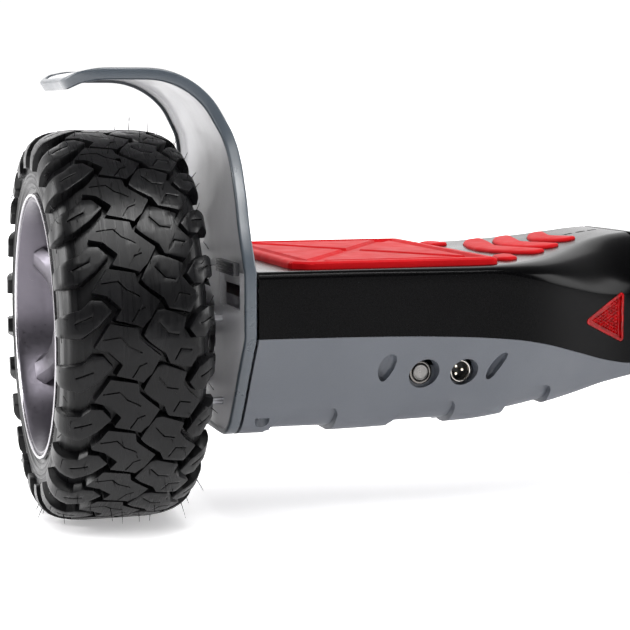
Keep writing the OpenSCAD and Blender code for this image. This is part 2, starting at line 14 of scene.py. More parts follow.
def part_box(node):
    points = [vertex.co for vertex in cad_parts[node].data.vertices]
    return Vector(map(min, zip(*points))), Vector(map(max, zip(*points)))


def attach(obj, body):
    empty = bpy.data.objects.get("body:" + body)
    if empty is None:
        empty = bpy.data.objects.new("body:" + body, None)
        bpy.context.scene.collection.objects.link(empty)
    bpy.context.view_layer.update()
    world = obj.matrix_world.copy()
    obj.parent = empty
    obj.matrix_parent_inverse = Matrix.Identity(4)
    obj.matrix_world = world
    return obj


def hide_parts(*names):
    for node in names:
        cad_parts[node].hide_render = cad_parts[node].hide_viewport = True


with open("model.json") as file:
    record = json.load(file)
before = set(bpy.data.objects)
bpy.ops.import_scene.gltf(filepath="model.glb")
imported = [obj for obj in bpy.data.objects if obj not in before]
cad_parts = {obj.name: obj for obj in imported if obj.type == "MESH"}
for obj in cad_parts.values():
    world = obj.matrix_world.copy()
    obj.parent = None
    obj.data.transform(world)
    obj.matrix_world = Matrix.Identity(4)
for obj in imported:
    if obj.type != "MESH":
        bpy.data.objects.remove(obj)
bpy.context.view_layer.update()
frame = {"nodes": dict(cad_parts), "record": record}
nodes = frame["nodes"]
MM = 0.001

# ---------------------------------------------------------------- driving sizes, mm
tyre_low, tyre_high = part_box("right_tyre")
AXLE_Z = 500 * (tyre_low[2] + tyre_high[2])
WHEEL_X = 500 * (tyre_low[0] + tyre_high[0])
TYRE_R = 500 * (tyre_high[2] - tyre_low[2])
TYRE_W = 1000 * (tyre_high[0] - tyre_low[0])
DECK_HALF = 1000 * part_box("right_upper_shell")[1][1]
BODY_END = 1000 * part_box("right_upper_shell")[1][0]
GAP = 1000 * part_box("right_upper_shell")[0][0]
CROWN_Z = 1000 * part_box("right_upper_shell")[1][2]
DECK_Z = 142.8
WAIST = 64.0
SKIN = 2.6
BUTTON_X, SOCKET_X, PORT_Z, PORT_Y = 146.3, 123.1, 83.6, -70.0
PIVOT_HOLE, AXLE_HOLE = 27.5, 26.0
SIDES = (("left", -1), ("right", 1))


# ---------------------------------------------------------------- camera and studio
def make_camera():
    """The camera stands where the photograph was taken from: behind, left and a little above."""
    yaw, pitch = math.radians(17.44), math.radians(6.36)
    data = bpy.data.cameras.new("camera")
    data.lens = 102.86
    data.sensor_width = 36.0
    data.clip_start = 0.01
    cam = bpy.data.objects.new("camera", data)
    cam.location = (-0.4955, -0.9896, 0.2245)
    look = Vector(
        (math.sin(yaw) * math.cos(pitch), math.cos(yaw) * math.cos(pitch), -math.sin(pitch))
    )
    cam.rotation_euler = look.to_track_quat("-Z", "Y").to_euler()
    bpy.context.scene.collection.objects.link(cam)
    bpy.context.scene.camera = cam


def area_light(name, spot, target, size, power, colour=(1, 1, 1)):
    data = bpy.data.lights.new(name, "AREA")
    data.shape = "RECTANGLE"
    data.size, data.size_y = size
    data.energy = power
    data.color = colour
    lamp = bpy.data.objects.new(name, data)
    lamp.location = spot
    lamp.rotation_euler = (Vector(target) - Vector(spot)).to_track_quat("-Z", "Y").to_euler()
    bpy.context.scene.collection.objects.link(lamp)


def node(tree, kind, **inputs):
    """A new shader node with input values; underscores in their names stand for spaces."""
    made = tree.nodes.new("ShaderNode" + kind)
    for key, value in inputs.items():
        made.inputs[key.replace("_", " ")].default_value = value
    return made


def map_range(tree, socket, x0, x1, low, high, smooth=False):
    made = node(tree, "MapRange", From_Min=x0, From_Max=x1, To_Min=low, To_Max=high)
    if smooth:
        made.interpolation_type = "SMOOTHSTEP"
    tree.links.new(socket, made.inputs["Value"])
    return made.outputs[0]


def make_studio():
    """White all round for the camera; for the light, bright low behind the object and dim elsewhere."""
    world = bpy.data.worlds.new("studio")
    world.use_nodes = True
    bpy.context.scene.world = world
    tree = world.node_tree
    back = tree.nodes["Background"]
    split = node(tree, "SeparateXYZ")
    tree.links.new(node(tree, "TexCoord").outputs["Generated"], split.inputs[0])
    product = node(tree, "Math")
    product.operation = "MULTIPLY"
    forward = map_range(tree, split.outputs["Y"], -0.45, 0.97, 0.12, 1.75, smooth=True)
    upward = map_range(tree, split.outputs["Z"], 0.20, 0.60, 1.0, 0.42, smooth=True)
    tree.links.new(forward, product.inputs[0])
    tree.links.new(upward, product.inputs[1])
    path = node(tree, "LightPath")
    mix = node(tree, "Mix", B=1.05)
    tree.links.new(path.outputs["Is Camera Ray"], mix.inputs["Factor"])
    tree.links.new(product.outputs[0], mix.inputs["A"])
    tree.links.new(mix.outputs[0], back.inputs["Strength"])
    back.inputs[0].default_value = (1, 0.995, 1, 1)
    mesh = bpy.data.meshes.new("floor")
    bm = bmesh.new()
    far = 60.0
    corners = [bm.verts.new((x, y, -0.0003)) for x, y in ((-far, -far), (far, -far), (far, far), (-far, far))]
    bm.faces.new(corners)
    bm.to_mesh(mesh)
    bm.free()
    floor = bpy.data.objects.new("floor", mesh)
    bpy.context.scene.collection.objects.link(floor)
    mat = bpy.data.materials.new("floor_white")
    mat.use_nodes = True
    shader = mat.node_tree.nodes["Principled BSDF"]
    shader.inputs["Base Color"].default_value = (0.95, 0.945, 0.95, 1)
    shader.inputs["Roughness"].default_value = 0.6
    shader.inputs["Specular IOR Level"].default_value = 0.3
    shader.inputs["Emission Color"].default_value = (1, 0.99, 1, 1)
    tree = mat.node_tree
    reach = node(tree, "VectorMath")
    reach.operation = "LENGTH"
    tree.links.new(node(tree, "TexCoord").outputs["Object"], reach.inputs[0])
    glow = map_range(tree, reach.outputs["Value"], 0.5, 1.5, 0.36, 1.0, smooth=True)
    tree.links.new(glow, shader.inputs["Emission Strength"])
    mesh.materials.append(mat)
    area_light("key", (-0.5, -1.35, 2.2), (-0.1, 0, 0.1), (2.6, 1.6), 72)
    area_light("left", (-2.2, 0.9, 0.9), (-0.3, 0, 0.12), (0.9, 1.6), 44)
    area_light("strip", (0.15, -0.85, 2.2), (0.05, 0, 0.14), (1.5, 0.3), 34)
    area_light("right", (2.2, -0.75, 0.95), (-0.1, 0, 0.12), (1.1, 1.3), 40)
    area_light("rim", (0.6, 2.2, 1.7), (0, 0, 0.1), (3.0, 1.4), 24)


make_camera()
make_studio()
bpy.context.scene.view_settings.view_transform = "Standard"


# ---------------------------------------------------------------- small tools
def curve_through(points):
    """A smooth function that passes through (x, y) points without overshoot."""
    x = np.array([p[0] for p in points], float)
    y = np.array([p[1] for p in points], float)
    h = np.diff(x)
    d = np.diff(y) / h
    m = np.zeros_like(y)
    m[1:-1] = np.where(d[:-1] * d[1:] > 0, 2 * d[:-1] * d[1:] / (d[:-1] + d[1:] + 1e-12), 0)
    m[0], m[-1] = d[0] * 0.5, d[-1] * 0.5

    def value(s):
        s = np.clip(s, x[0], x[-1])
        i = np.clip(np.searchsorted(x, s, side="right") - 1, 0, len(h) - 1)
        t = (s - x[i]) / h[i]
        return (
            (2 * t**3 - 3 * t**2 + 1) * y[i]
            + (t**3 - 2 * t**2 + t) * h[i] * m[i]
            + (-2 * t**3 + 3 * t**2) * y[i + 1]
            + (t**3 - t**2) * h[i] * m[i + 1]
        )

    return value


def ramp(t):
    t = np.clip(t, 0, 1)
    return t * t * (3 - 2 * t)


def link(name, mesh):
    obj = bpy.data.objects.new(name, mesh)
    bpy.context.scene.collection.objects.link(obj)
    return obj


def mesh_from(name, points, faces):
    """A mesh from points in millimetres."""
    mesh = bpy.data.meshes.new(name)
    mesh.from_pydata([tuple(float(c) * MM for c in p) for p in points], [], faces)
    mesh.validate()
    return mesh


def drop(obj):
    mesh = obj.data
    bpy.data.objects.remove(obj)
    bpy.data.meshes.remove(mesh)


def outward(obj):
    """Points the faces of a closed mesh outward."""
    bm = bmesh.new()
    bm.from_mesh(obj.data)
    bmesh.ops.recalc_face_normals(bm, faces=bm.faces)
    bm.to_mesh(obj.data)
    bm.free()
    return obj


def tidy(obj, angle=35, merge=0.00001):
    """Merges doubles, points faces outward and shades smooth except over sharp edges."""
    bm = bmesh.new()
    bm.from_mesh(obj.data)
    bmesh.ops.remove_doubles(bm, verts=bm.verts, dist=merge)
    bmesh.ops.dissolve_degenerate(bm, edges=bm.edges, dist=merge)
    bmesh.ops.recalc_face_normals(bm, faces=bm.faces)
    limit = math.radians(angle)
    for e in bm.edges:
        e.smooth = len(e.link_faces) == 2 and e.calc_face_angle(0) < limit
    for f in bm.faces:
        f.smooth = True
    bm.to_mesh(obj.data)
    bm.free()
    return obj


def apply_modifiers(obj):
    done = bpy.data.meshes.new_from_object(obj.evaluated_get(bpy.context.evaluated_depsgraph_get()))
    old = obj.data
    obj.modifiers.clear()
    obj.data = done
    done.name = obj.name
    bpy.data.meshes.remove(old)
    return obj


def cut(obj, cutters, operation="DIFFERENCE"):
    """Cuts solids away with the exact solver, then removes them."""
    for cutter in cutters:
        m = obj.modifiers.new("cut", "BOOLEAN")
        m.operation = operation
        m.solver = "EXACT"
        m.object = cutter
        apply_modifiers(obj)
        drop(cutter)
    return obj


def bevel(obj, width, segments=2, angle=35):
    m = obj.modifiers.new("bevel", "BEVEL")
    m.width = width * MM
    m.segments = segments
    m.limit_method = "ANGLE"
    m.angle_limit = math.radians(angle)
    m.miter_outer = "MITER_ARC"
    return apply_modifiers(obj)


def grid_faces(nu, nv, wrap_u=False, wrap_v=False, start=0):
    faces = []
    for i in range(nu if wrap_u else nu - 1):
        for j in range(nv if wrap_v else nv - 1):
            a, b = i, (i + 1) % nu
            c, d = j, (j + 1) % nv
            faces.append((start + a * nv + c, start + b * nv + c, start + b * nv + d, start + a * nv + d))
    return faces


def slab_faces(nu, nv, ends=None):
    """Faces of a slab between two grids of points, closed at both sides and at the given rows."""
    n = nu * nv
    faces = grid_faces(nu, nv) + [tuple(n + i for i in f[::-1]) for f in grid_faces(nu, nv)]
    for j in (0, nv - 1):
        for i in range(nu - 1):
            a, b = i * nv + j, (i + 1) * nv + j
            faces.append((a, b, n + b, n + a))
    for i in (0, nu - 1) if ends is None else ends:
        for a in range(i * nv, i * nv + nv - 1):
            faces.append((a, a + 1, n + a + 1, n + a))
    return faces


def side_of(points, sd):
    """Mirrors points modelled on the right to the side they are wanted."""
    p = np.array(points, float)
    p[:, 0] *= sd
    return p


def finish_piece(obj, material, body, replaced):
    """Gives a piece its material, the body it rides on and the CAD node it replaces."""
    obj.data.materials.clear()
    obj.data.materials.append(material)
    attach(obj, body)
    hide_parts(replaced)
    return obj


def rounded(points, radius, steps=6):
    """A closed 2D outline with its corners rounded to arcs."""
    out = []
    n = len(points)
    for i in range(n):
        p, a, b = (np.array(points[k % n], float) for k in (i, i - 1, i + 1))
        u, v = a - p, b - p
        lu, lv = np.linalg.norm(u), np.linalg.norm(v)
        u, v = u / lu, v / lv
        half = math.acos(max(-1, min(1, float(u @ v)))) / 2
        r = radius[i] if isinstance(radius, (list, tuple)) else radius
        reach = min(r / math.tan(half), 0.49 * min(lu, lv))
        r = reach * math.tan(half)
        if r < 1e-3 or half > math.radians(88):
            out.append(tuple(p))
            continue
        centre = p + (u + v) / np.linalg.norm(u + v) * r / math.sin(half)
        a0 = math.atan2(*(p + u * reach - centre)[::-1])
        a1 = math.atan2(*(p + v * reach - centre)[::-1])
        turn = (a1 - a0 + math.pi) % (2 * math.pi) - math.pi
        for k in range(steps + 1):
            a = a0 + turn * k / steps
            out.append(tuple(centre + r * np.array((math.cos(a), math.sin(a)))))
    return out


def offset_outline(points, d):
    """Moves a closed, counter-clockwise outline outward by d."""
    p = np.array(points, float)
    e = np.roll(p, -1, 0) - p
    n = np.stack([e[:, 1], -e[:, 0]], 1)
    n /= np.linalg.norm(n, axis=1)[:, None] + 1e-12
    m = n + np.roll(n, 1, 0)
    m /= np.maximum(np.sum(m * n, 1), 0.35)[:, None]
    return p + d * m


def is_ccw(points):
    p = np.array(points, float)
    q = np.roll(p, -1, 0)
    return float(np.sum(p[:, 0] * q[:, 1] - q[:, 0] * p[:, 1])) > 0


def prism(name, outline, low, high, place=None):
    """A solid between two heights over a 2D outline. place maps (x, y, h) to a point."""
    if not is_ccw(outline):
        outline = outline[::-1]
    place = place or (lambda x, y, h: (x, y, h))
    n = len(outline)
    points = [place(x, y, h) for h in (low, high) for x, y in outline]
    faces = [tuple(range(n - 1, -1, -1)), tuple(range(n, 2 * n))]
    faces += [(i, (i + 1) % n, n + (i + 1) % n, n + i) for i in range(n)]
    return outward(link(name, mesh_from(name, points, faces)))


def join(name, objs):
    """Joins objects into one mesh without boolean work."""
    bm = bmesh.new()
    for o in objs:
        bm.from_mesh(o.data)
    mesh = bpy.data.meshes.new(name)
    bm.to_mesh(mesh)
    bm.free()
    for o in objs:
        drop(o)
    return link(name, mesh)


def turned(name, profile, steps=96, axis="X", centre=(0, 0, 0), closed=True):
    """A solid of revolution. profile is (along, radius) in mm; closed joins its ends."""
    cx, cy, cz = centre
    points = []
    for i in range(steps):
        a = 2 * math.pi * i / steps
        for t, r in profile:
            if axis == "X":
                points.append((cx + t, cy + r * math.sin(a), cz + r * math.cos(a)))
            else:
                points.append((cx + r * math.sin(a), cy + t, cz + r * math.cos(a)))
    faces = grid_faces(steps, len(profile), wrap_u=True, wrap_v=closed)
    return tidy(link(name, mesh_from(name, points, faces)))


def reference_normals(obj, reference, limit=35):
    """Gives faces that lie on a reference surface the smooth normals of that surface."""
    bm = bmesh.new()
    bm.from_mesh(reference.data)
    bm.normal_update()
    bm.verts.ensure_lookup_table()
    bm.faces.ensure_lookup_table()
    bmesh.ops.triangulate(bm, faces=bm.faces)
    bm.faces.ensure_lookup_table()
    tree = BVHTree.FromBMesh(bm)
    mesh = obj.data
    cos_limit = math.cos(math.radians(limit))
    normals = [tuple(n.vector) for n in mesh.corner_normals]
    cache = {}
    for p in mesh.polygons:
        for li in p.loop_indices:
            vi = mesh.loops[li].vertex_index
            if vi not in cache:
                spot, _, index, _ = tree.find_nearest(mesh.vertices[vi].co, 0.0004)
                if spot is None:
                    cache[vi] = None
                else:
                    f = bm.faces[index]
                    a, b, c = (v.co for v in f.verts)
                    area = (b - a).cross(c - a).length or 1e-20
                    w = (
                        (b - spot).cross(c - spot).length / area,
                        (c - spot).cross(a - spot).length / area,
                        (a - spot).cross(b - spot).length / area,
                    )
                    n = sum((v.normal * k for v, k in zip(f.verts, w)), Vector())
                    cache[vi] = n.normalized()
            n = cache[vi]
            if n is not None and n.dot(p.normal) > cos_limit:
                normals[li] = tuple(n)
    bm.free()
    mesh.normals_split_custom_set(normals)


# ---------------------------------------------------------------- materials
def material(name, base, rough, metal=0.0, coat=0.0, spec=0.5):
    """A principled material, its node tree and its shader."""
    mat = bpy.data.materials.new(name)
    mat.use_nodes = True
    tree = mat.node_tree
    shader = tree.nodes["Principled BSDF"]
    for key, value in (("Base Color", (*base, 1)), ("Roughness", rough), ("Metallic", metal),
                       ("Coat Weight", coat), ("Coat Roughness", 0.05), ("Specular IOR Level", spec)):
        shader.inputs[key].default_value = value
    return mat, tree, shader


def noise(tree, scale, detail=3.0, rough=0.5, stretch=(1, 1, 1)):
    """3D noise in object space, in cycles per metre."""
    mapping = node(tree, "Mapping", Scale=stretch)
    tex = node(tree, "TexNoise", Scale=scale, Detail=detail, Roughness=rough)
    tree.links.new(node(tree, "TexCoord").outputs["Object"], mapping.inputs[0])
    tree.links.new(mapping.outputs[0], tex.inputs["Vector"])
    return tex.outputs["Fac"]


def spread(tree, socket, low, high):
    """Spreads the middle of a noise over low to high."""
    return map_range(tree, socket, 0.3, 0.7, low, high)


def tint(tree, socket, low, high):
    """Maps the middle of a noise to a colour between two colours."""
    made = node(tree, "ValToRGB")
    for element, spot, colour in zip(made.color_ramp.elements, (0.35, 0.65), (low, high)):
        element.position = spot
        element.color = (*colour, 1)
    tree.links.new(socket, made.inputs[0])
    return made.outputs[0]


def bump(tree, shader, socket, depth, strength=1.0, before=None):
    """Adds a bump of a depth in millimetres, on top of an earlier bump."""
    made = node(tree, "Bump", Distance=depth * MM, Strength=strength)
    tree.links.new(socket, made.inputs["Height"])
    if before is not None:
        tree.links.new(before, made.inputs["Normal"])
    tree.links.new(made.outputs[0], shader.inputs["Normal"])
    return made.outputs[0]


def multiply(tree, a, b):
    made = node(tree, "Mix", Factor=1.0)
    made.data_type = "RGBA"
    made.blend_type = "MULTIPLY"
    tree.links.new(a, made.inputs[6])
    tree.links.new(b, made.inputs[7])
    return made.outputs[2]


def feed(tree, shader, colour, rough):
    tree.links.new(colour, shader.inputs["Base Color"])
    tree.links.new(rough, shader.inputs["Roughness"])


def gloss_black():
    """Piano-black moulding: a faint orange peel, dust and fine handling marks."""
    mat, tree, shader = material("gloss_black", (0.001, 0.001, 0.0011), 0.2, spec=0.045)
    dust = tint(tree, noise(tree, 900, 4, 0.7), (0.0006, 0.0006, 0.0007), (0.0016, 0.0016, 0.0018))
    feed(tree, shader, dust, spread(tree, noise(tree, 14, 5, 0.65), 0.15, 0.25))
    peel = bump(tree, shader, noise(tree, 120, 2), 0.012)
    bump(tree, shader, noise(tree, 2600, 2, stretch=(1, 0.08, 1)), 0.0012, before=peel)
    return mat


def grained(name, low, high, rough, grain=0.02, metal=0.0, coat=0.0):
    """Textured moulded plastic: spark-eroded grain, slight mottling and soft wear."""
    mat, tree, shader = material(name, high, rough, metal=metal, coat=coat)
    broad = noise(tree, 9, 4, 0.6)
    speck = noise(tree, 1800, 3, 0.6)
    both = multiply(tree, tint(tree, broad, low, high), tint(tree, speck, (0.9, 0.9, 0.9), (1, 1, 1)))
    feed(tree, shader, both, spread(tree, noise(tree, 30, 5, 0.7), rough - 0.06, rough + 0.08))
    first = bump(tree, shader, noise(tree, 2300, 3, 0.7), grain)
    bump(tree, shader, noise(tree, 60, 3), 0.05, before=first)
    return mat


def rubber(name, low, high, rough, grain=0.03, spec=0.5):
    mat, tree, shader = material(name, high, rough, spec=spec)
    feed(tree, shader, tint(tree, noise(tree, 25, 6, 0.7), low, high),
         spread(tree, noise(tree, 70, 5, 0.7), rough - 0.08, rough + 0.1))
    first = bump(tree, shader, noise(tree, 1500, 4, 0.7), grain)
    bump(tree, shader, noise(tree, 90, 4), 0.06, before=first)
    return mat


def tyre_rubber():
    """Tread rubber: fine turning lines round the tyre, mould bloom and a dull sheen."""
    mat, tree, shader = material("tyre_rubber", (0.003, 0.003, 0.0034), 0.34, spec=0.16)
    bloom = tint(tree, noise(tree, 38, 6, 0.72), (0.0010, 0.0010, 0.0012), (0.0042, 0.0042, 0.0047))
    lines = noise(tree, 1.0, 4, 0.75, stretch=(900, 14, 14))
    feed(tree, shader, bloom, spread(tree, lines, 0.22, 0.42))
    first = bump(tree, shader, lines, 0.05, 0.55)
    second = bump(tree, shader, noise(tree, 420, 5, 0.7), 0.06, 0.7, before=first)
    bump(tree, shader, noise(tree, 45, 3), 0.25, 0.6, before=second)
    return mat


def metal(name, low, high, rough, stretch=(1, 1, 1), scale=700, depth=0.006):
    mat, tree, shader = material(name, high, rough, metal=1.0)
    grain = noise(tree, scale, 4, 0.7, stretch)
    feed(tree, shader, tint(tree, noise(tree, 18, 4), low, high),
         spread(tree, grain, rough - 0.07, rough + 0.09))
    bump(tree, shader, grain, depth)
    return mat


def cast_metal(name, low, high, rough):
    mat, tree, shader = material(name, high, rough, metal=0.85)
    feed(tree, shader, tint(tree, noise(tree, 40, 5, 0.7), low, high),
         spread(tree, noise(tree, 300, 4), rough - 0.1, rough + 0.1))
    bump(tree, shader, noise(tree, 900, 3, 0.6), 0.05)
    return mat


def lens(name, colour, rough=0.1, clear=0.0, spec=0.5):
    """Moulded lens plastic, tinted through, with a little haze."""
    mat, tree, shader = material(name, colour, rough, spec=spec)
    shader.inputs["Transmission Weight"].default_value = clear
    shader.inputs["IOR"].default_value = 1.49
    dark = tuple(c * 0.45 for c in colour)
    feed(tree, shader, tint(tree, noise(tree, 330, 4), dark, colour),
         spread(tree, noise(tree, 260, 3), rough - 0.04, rough + 0.08))
    bump(tree, shader, noise(tree, 800, 2), 0.01)
    return mat


def circuit_green():
    """Solder mask with a pattern of tracks."""
    mat, tree, shader = material("circuit_green", (0.01, 0.10, 0.045), 0.32)
    bricks = node(tree, "TexBrick", Scale=90, Mortar_Size=0.03, Color1=(0.008, 0.085, 0.035, 1),
                  Color2=(0.012, 0.11, 0.05, 1), Mortar=(0.03, 0.2, 0.09, 1))
    tree.links.new(node(tree, "TexCoord").outputs["Object"], bricks.inputs["Vector"])
    feed(tree, shader, bricks.outputs["Color"], spread(tree, noise(tree, 500, 3), 0.25, 0.42))
    bump(tree, shader, bricks.outputs["Fac"], 0.03)
    return mat


M = {
    "gloss_black": gloss_black(),
    "satin_grey": grained("satin_grey", (0.050, 0.056, 0.069), (0.061, 0.068, 0.082), 0.42),
    "arch_silver": grained("arch_silver", (0.37, 0.37, 0.385), (0.43, 0.43, 0.445), 0.34, 0.012, coat=0.1),
    "arch_lip": grained("arch_lip", (0.032, 0.040, 0.050), (0.041, 0.051, 0.062), 0.3, 0.012),
    "clip_black": grained("clip_black", (0.012, 0.012, 0.014), (0.022, 0.022, 0.025), 0.45),
    "mat_red": rubber("mat_red", (0.315, 0.0024, 0.004), (0.375, 0.0034, 0.0058), 0.56, 0.012, spec=0.06),
    "lamp_red": lens("lamp_red", (0.25, 0.001, 0.002), spec=0.1),
    "lamp_clear": lens("lamp_clear", (0.70, 0.74, 0.78), clear=0.35),
    "window_smoke": lens("window_smoke", (0.03, 0.03, 0.035), 0.2),
    "cast_alloy": cast_metal("cast_alloy", (0.42, 0.42, 0.44), (0.55, 0.55, 0.57), 0.42),
    "axle_steel": metal("axle_steel", (0.42, 0.42, 0.44), (0.52, 0.52, 0.54), 0.3, (9, 1, 1), 260),
    "stator_copper": cast_metal("stator_copper", (0.30, 0.14, 0.07), (0.48, 0.25, 0.13), 0.4),
    "circuit_green": circuit_green(),
    "screw_steel": metal("screw_steel", (0.30, 0.30, 0.32), (0.45, 0.45, 0.47), 0.34),
    "bright_ring": metal("bright_ring", (0.40, 0.38, 0.36), (0.52, 0.50, 0.47), 0.16, scale=300),
    "dark_steel": metal("dark_steel", (0.10, 0.095, 0.09), (0.16, 0.15, 0.14), 0.2, scale=300),
    "spun_metal": metal("spun_metal", (0.15, 0.145, 0.14), (0.21, 0.205, 0.20), 0.3, scale=500),
    "insert_black": grained("insert_black", (0.008, 0.008, 0.009), (0.014, 0.014, 0.015), 0.5),
    "pin_gold": metal("pin_gold", (0.60, 0.55, 0.45), (0.75, 0.70, 0.60), 0.2),
    "washer_nylon": grained("washer_nylon", (0.55, 0.55, 0.52), (0.66, 0.66, 0.62), 0.5),
    "cable_black": rubber("cable_black", (0.012, 0.012, 0.013), (0.022, 0.022, 0.024), 0.5),
    "tyre": tyre_rubber(),
    "rim_gunmetal": metal("rim_gunmetal", (0.092, 0.085, 0.100), (0.122, 0.113, 0.131), 0.34, scale=420,
                          depth=0.012),
    # the lip ring: the rim's own metal made several times lighter, a painted highlight on the lip
    "rim_lip_highlight": metal("rim_lip_highlight", (0.34, 0.33, 0.35), (0.44, 0.43, 0.45), 0.22, scale=500),
    "magnet_grey": metal("magnet_grey", (0.25, 0.25, 0.27), (0.35, 0.35, 0.37), 0.3),
    "bearing_steel": metal("bearing_steel", (0.48, 0.48, 0.49), (0.60, 0.60, 0.61), 0.22),
    "battery_blue": grained("battery_blue", (0.015, 0.06, 0.28), (0.025, 0.09, 0.36), 0.3, 0.01, coat=0.3),
    "bush_bronze": cast_metal("bush_bronze", (0.40, 0.25, 0.11), (0.55, 0.36, 0.17), 0.35),
}
SLOT_OF = {s["node"]: s["material_slot"] for s in frame["record"]["subparts"]}
for name, obj in nodes.items():
    obj.data.materials.clear()
    obj.data.materials.append(M[SLOT_OF[name]])


# ---------------------------------------------------------------- body shape
rise = curve_through([(-30, 1.02), (0, 1), (9, 0.95), (24, 0.79), (39, 0.586), (54, 0.39),
                      (69, 0.219), (84, 0.11), (99, 0.04), (124, 0), (244, 0)])
part_z = curve_through([(-20, 82), (0, 82), (15, 82.6), (31, 85.3), (57, 92.6), (80, 98.9), (98, 102.2),
                        (132, 105.1), (171, 106.7), (204, 107.3), (244, 107.7)])
under_z = curve_through([(0, 76), (28, 71), (51, 64), (84, 56), (114, 51), (154, 49.4), (187, 48.6),
                         (244, 49)])


def top_z(s):
    return DECK_Z + (CROWN_Z - DECK_Z) * rise(s)


def wide_y(s):
    return WAIST + (DECK_HALF - WAIST) * ramp(s / 100)


def shoulder_w(s):
    return 4 + 4 * ramp((200 - s) / 100) + 27 * ramp((118 - s) / 98)


def shoulder_h(s):
    return 4 + 28 * ramp((118 - s) / 108)


def shoulder_n(s):
    return 2 - 0.55 * ramp((90 - s) / 80)


def upper_section(s, d):
    """Section of the upper body at a distance s from the centre, grown by d: (y, z) rows."""
    side = np.linspace(0, 1, 7)[:-1]
    arc = np.linspace(0, math.pi / 2, 19)
    flat = np.linspace(0, 1, 15)[1:]
    w, top, sw, sh, e = wide_y(s) + d, top_z(s) + d, shoulder_w(s), shoulder_h(s), 2 / shoulder_n(s)
    z0 = part_z(s) + 0.12
    z1 = top - sh
    y = [np.full(6, w), w - sw * (1 - np.cos(arc) ** e), (w - sw) * (1 - flat)]
    z = [z0 + (z1 - z0) * side, z1 + sh * np.sin(arc) ** e, np.full(14, top)]
    y, z = np.concatenate(y), np.concatenate(z)
    return np.concatenate([np.stack([-y, z], 1), np.stack([y[:-1][::-1], z[:-1][::-1]], 1)])


def lower_section(s, d):
    """Section of the lower body, from the front parting edge under to the back one."""
    w, p, u = wide_y(s), part_z(s), under_z(s)
    k = (p - u) / 58
    key = np.array([(w, p - 0.12), (w - 14 * k, p - 20.5 * k), (w - 28 * k, p - 42 * k),
                    (w - 35 * k, p - 51 * k), (w - 43 * k, p - 56 * k), (w - 52 * k, u)])
    # a smooth line through the key points, with rounded turns and a flat bottom
    t = np.concatenate([[0], np.cumsum(np.linalg.norm(np.diff(key, axis=0), axis=1))])
    f = np.linspace(0, t[-1], 46)
    line = np.stack([curve_through(list(zip(t, key[:, i])))(f) for i in (0, 1)], 1)
    flat = np.linspace(line[-1, 0], 0, 18)[1:]
    line = np.concatenate([line, np.stack([flat, np.full(17, u)], 1)])
    both = np.concatenate([line * (-1, 1), line[:-1][::-1]])
    if d:
        step = np.gradient(both, axis=0)
        normal = np.stack([step[:, 1], -step[:, 0]], 1)
        normal /= np.linalg.norm(normal, axis=1)[:, None]
        if (normal[31] @ np.array((0, -1))) < 0 and both[31, 1] < p - 20 * k:
            normal = -normal
        both = both + d * normal
        both[:, 1] = np.minimum(both[:, 1], p - 0.12)
    return both


def stations(low, high, step):
    return np.linspace(low, high, max(2, int(round((high - low) / step)) + 1))


def shell(section, start, inner_start, end, outer_step, move=None, skin=SKIN):
    """A moulded half shell: outer and inner skins, a closed centre wall and an open wheel end."""
    s = stations(start, end, outer_step)
    si = inner_start + (s - start) * (end - inner_start) / (end - start)
    outer = np.array([[(x, y, z) for y, z in section(x, 0)] for x in s])
    inner = np.array([[(x, y, z) for y, z in section(x, -skin)] for x in si])
    if move is not None:
        outer = move(outer, True)
        inner = move(inner, False)
    nu, nv = outer.shape[:2]
    points = np.concatenate([outer.reshape(-1, 3), inner.reshape(-1, 3)])
    n = nu * nv
    faces = slab_faces(nu, nv, ends=(nu - 1,))
    faces.append(tuple(range(nv)))
    faces.append(tuple(n + j for j in range(nv - 1, -1, -1)))
    faces.append((0, nv - 1, n + nv - 1, n))
    return points, faces, outer


def make_shell(name, sd, points, faces, outer):
    obj = link(name, mesh_from(name, side_of(points, sd), faces))
    tidy(obj, 40)
    nu, nv = outer.shape[:2]
    ref = link(name + "_ref", mesh_from(name + "_ref", side_of(outer.reshape(-1, 3), sd), grid_faces(nu, nv)))
    bm = bmesh.new()
    bm.from_mesh(ref.data)
    bmesh.ops.recalc_face_normals(bm, faces=bm.faces)
    # the faces of an open sheet may all point inward, so the widest one is tested
    face = max(bm.faces, key=lambda f: abs(f.calc_center_median().y))
    if face.normal.y * face.calc_center_median().y < 0:
        bmesh.ops.reverse_faces(bm, faces=bm.faces)
    bm.to_mesh(ref.data)
    bm.free()
    return obj, ref


# ---------------------------------------------------------------- mat, grips and lamp outlines
MAT_HALF, MAT_IN, MAT_OUT = 82.0, 104.0, 222.0
MAT_FOOT = DECK_Z - SKIN - 0.9


def mat_outline(grow=0.0):
    p = [(MAT_OUT, -MAT_HALF + 9), (MAT_OUT, MAT_HALF - 9), (MAT_OUT - 9, MAT_HALF), (MAT_IN, MAT_HALF),
         (MAT_IN, -MAT_HALF), (MAT_OUT - 9, -MAT_HALF)]
    line = rounded(p, [9, 9, 9, 5, 5, 9])
    return offset_outline(line, grow) if grow else np.array(line)


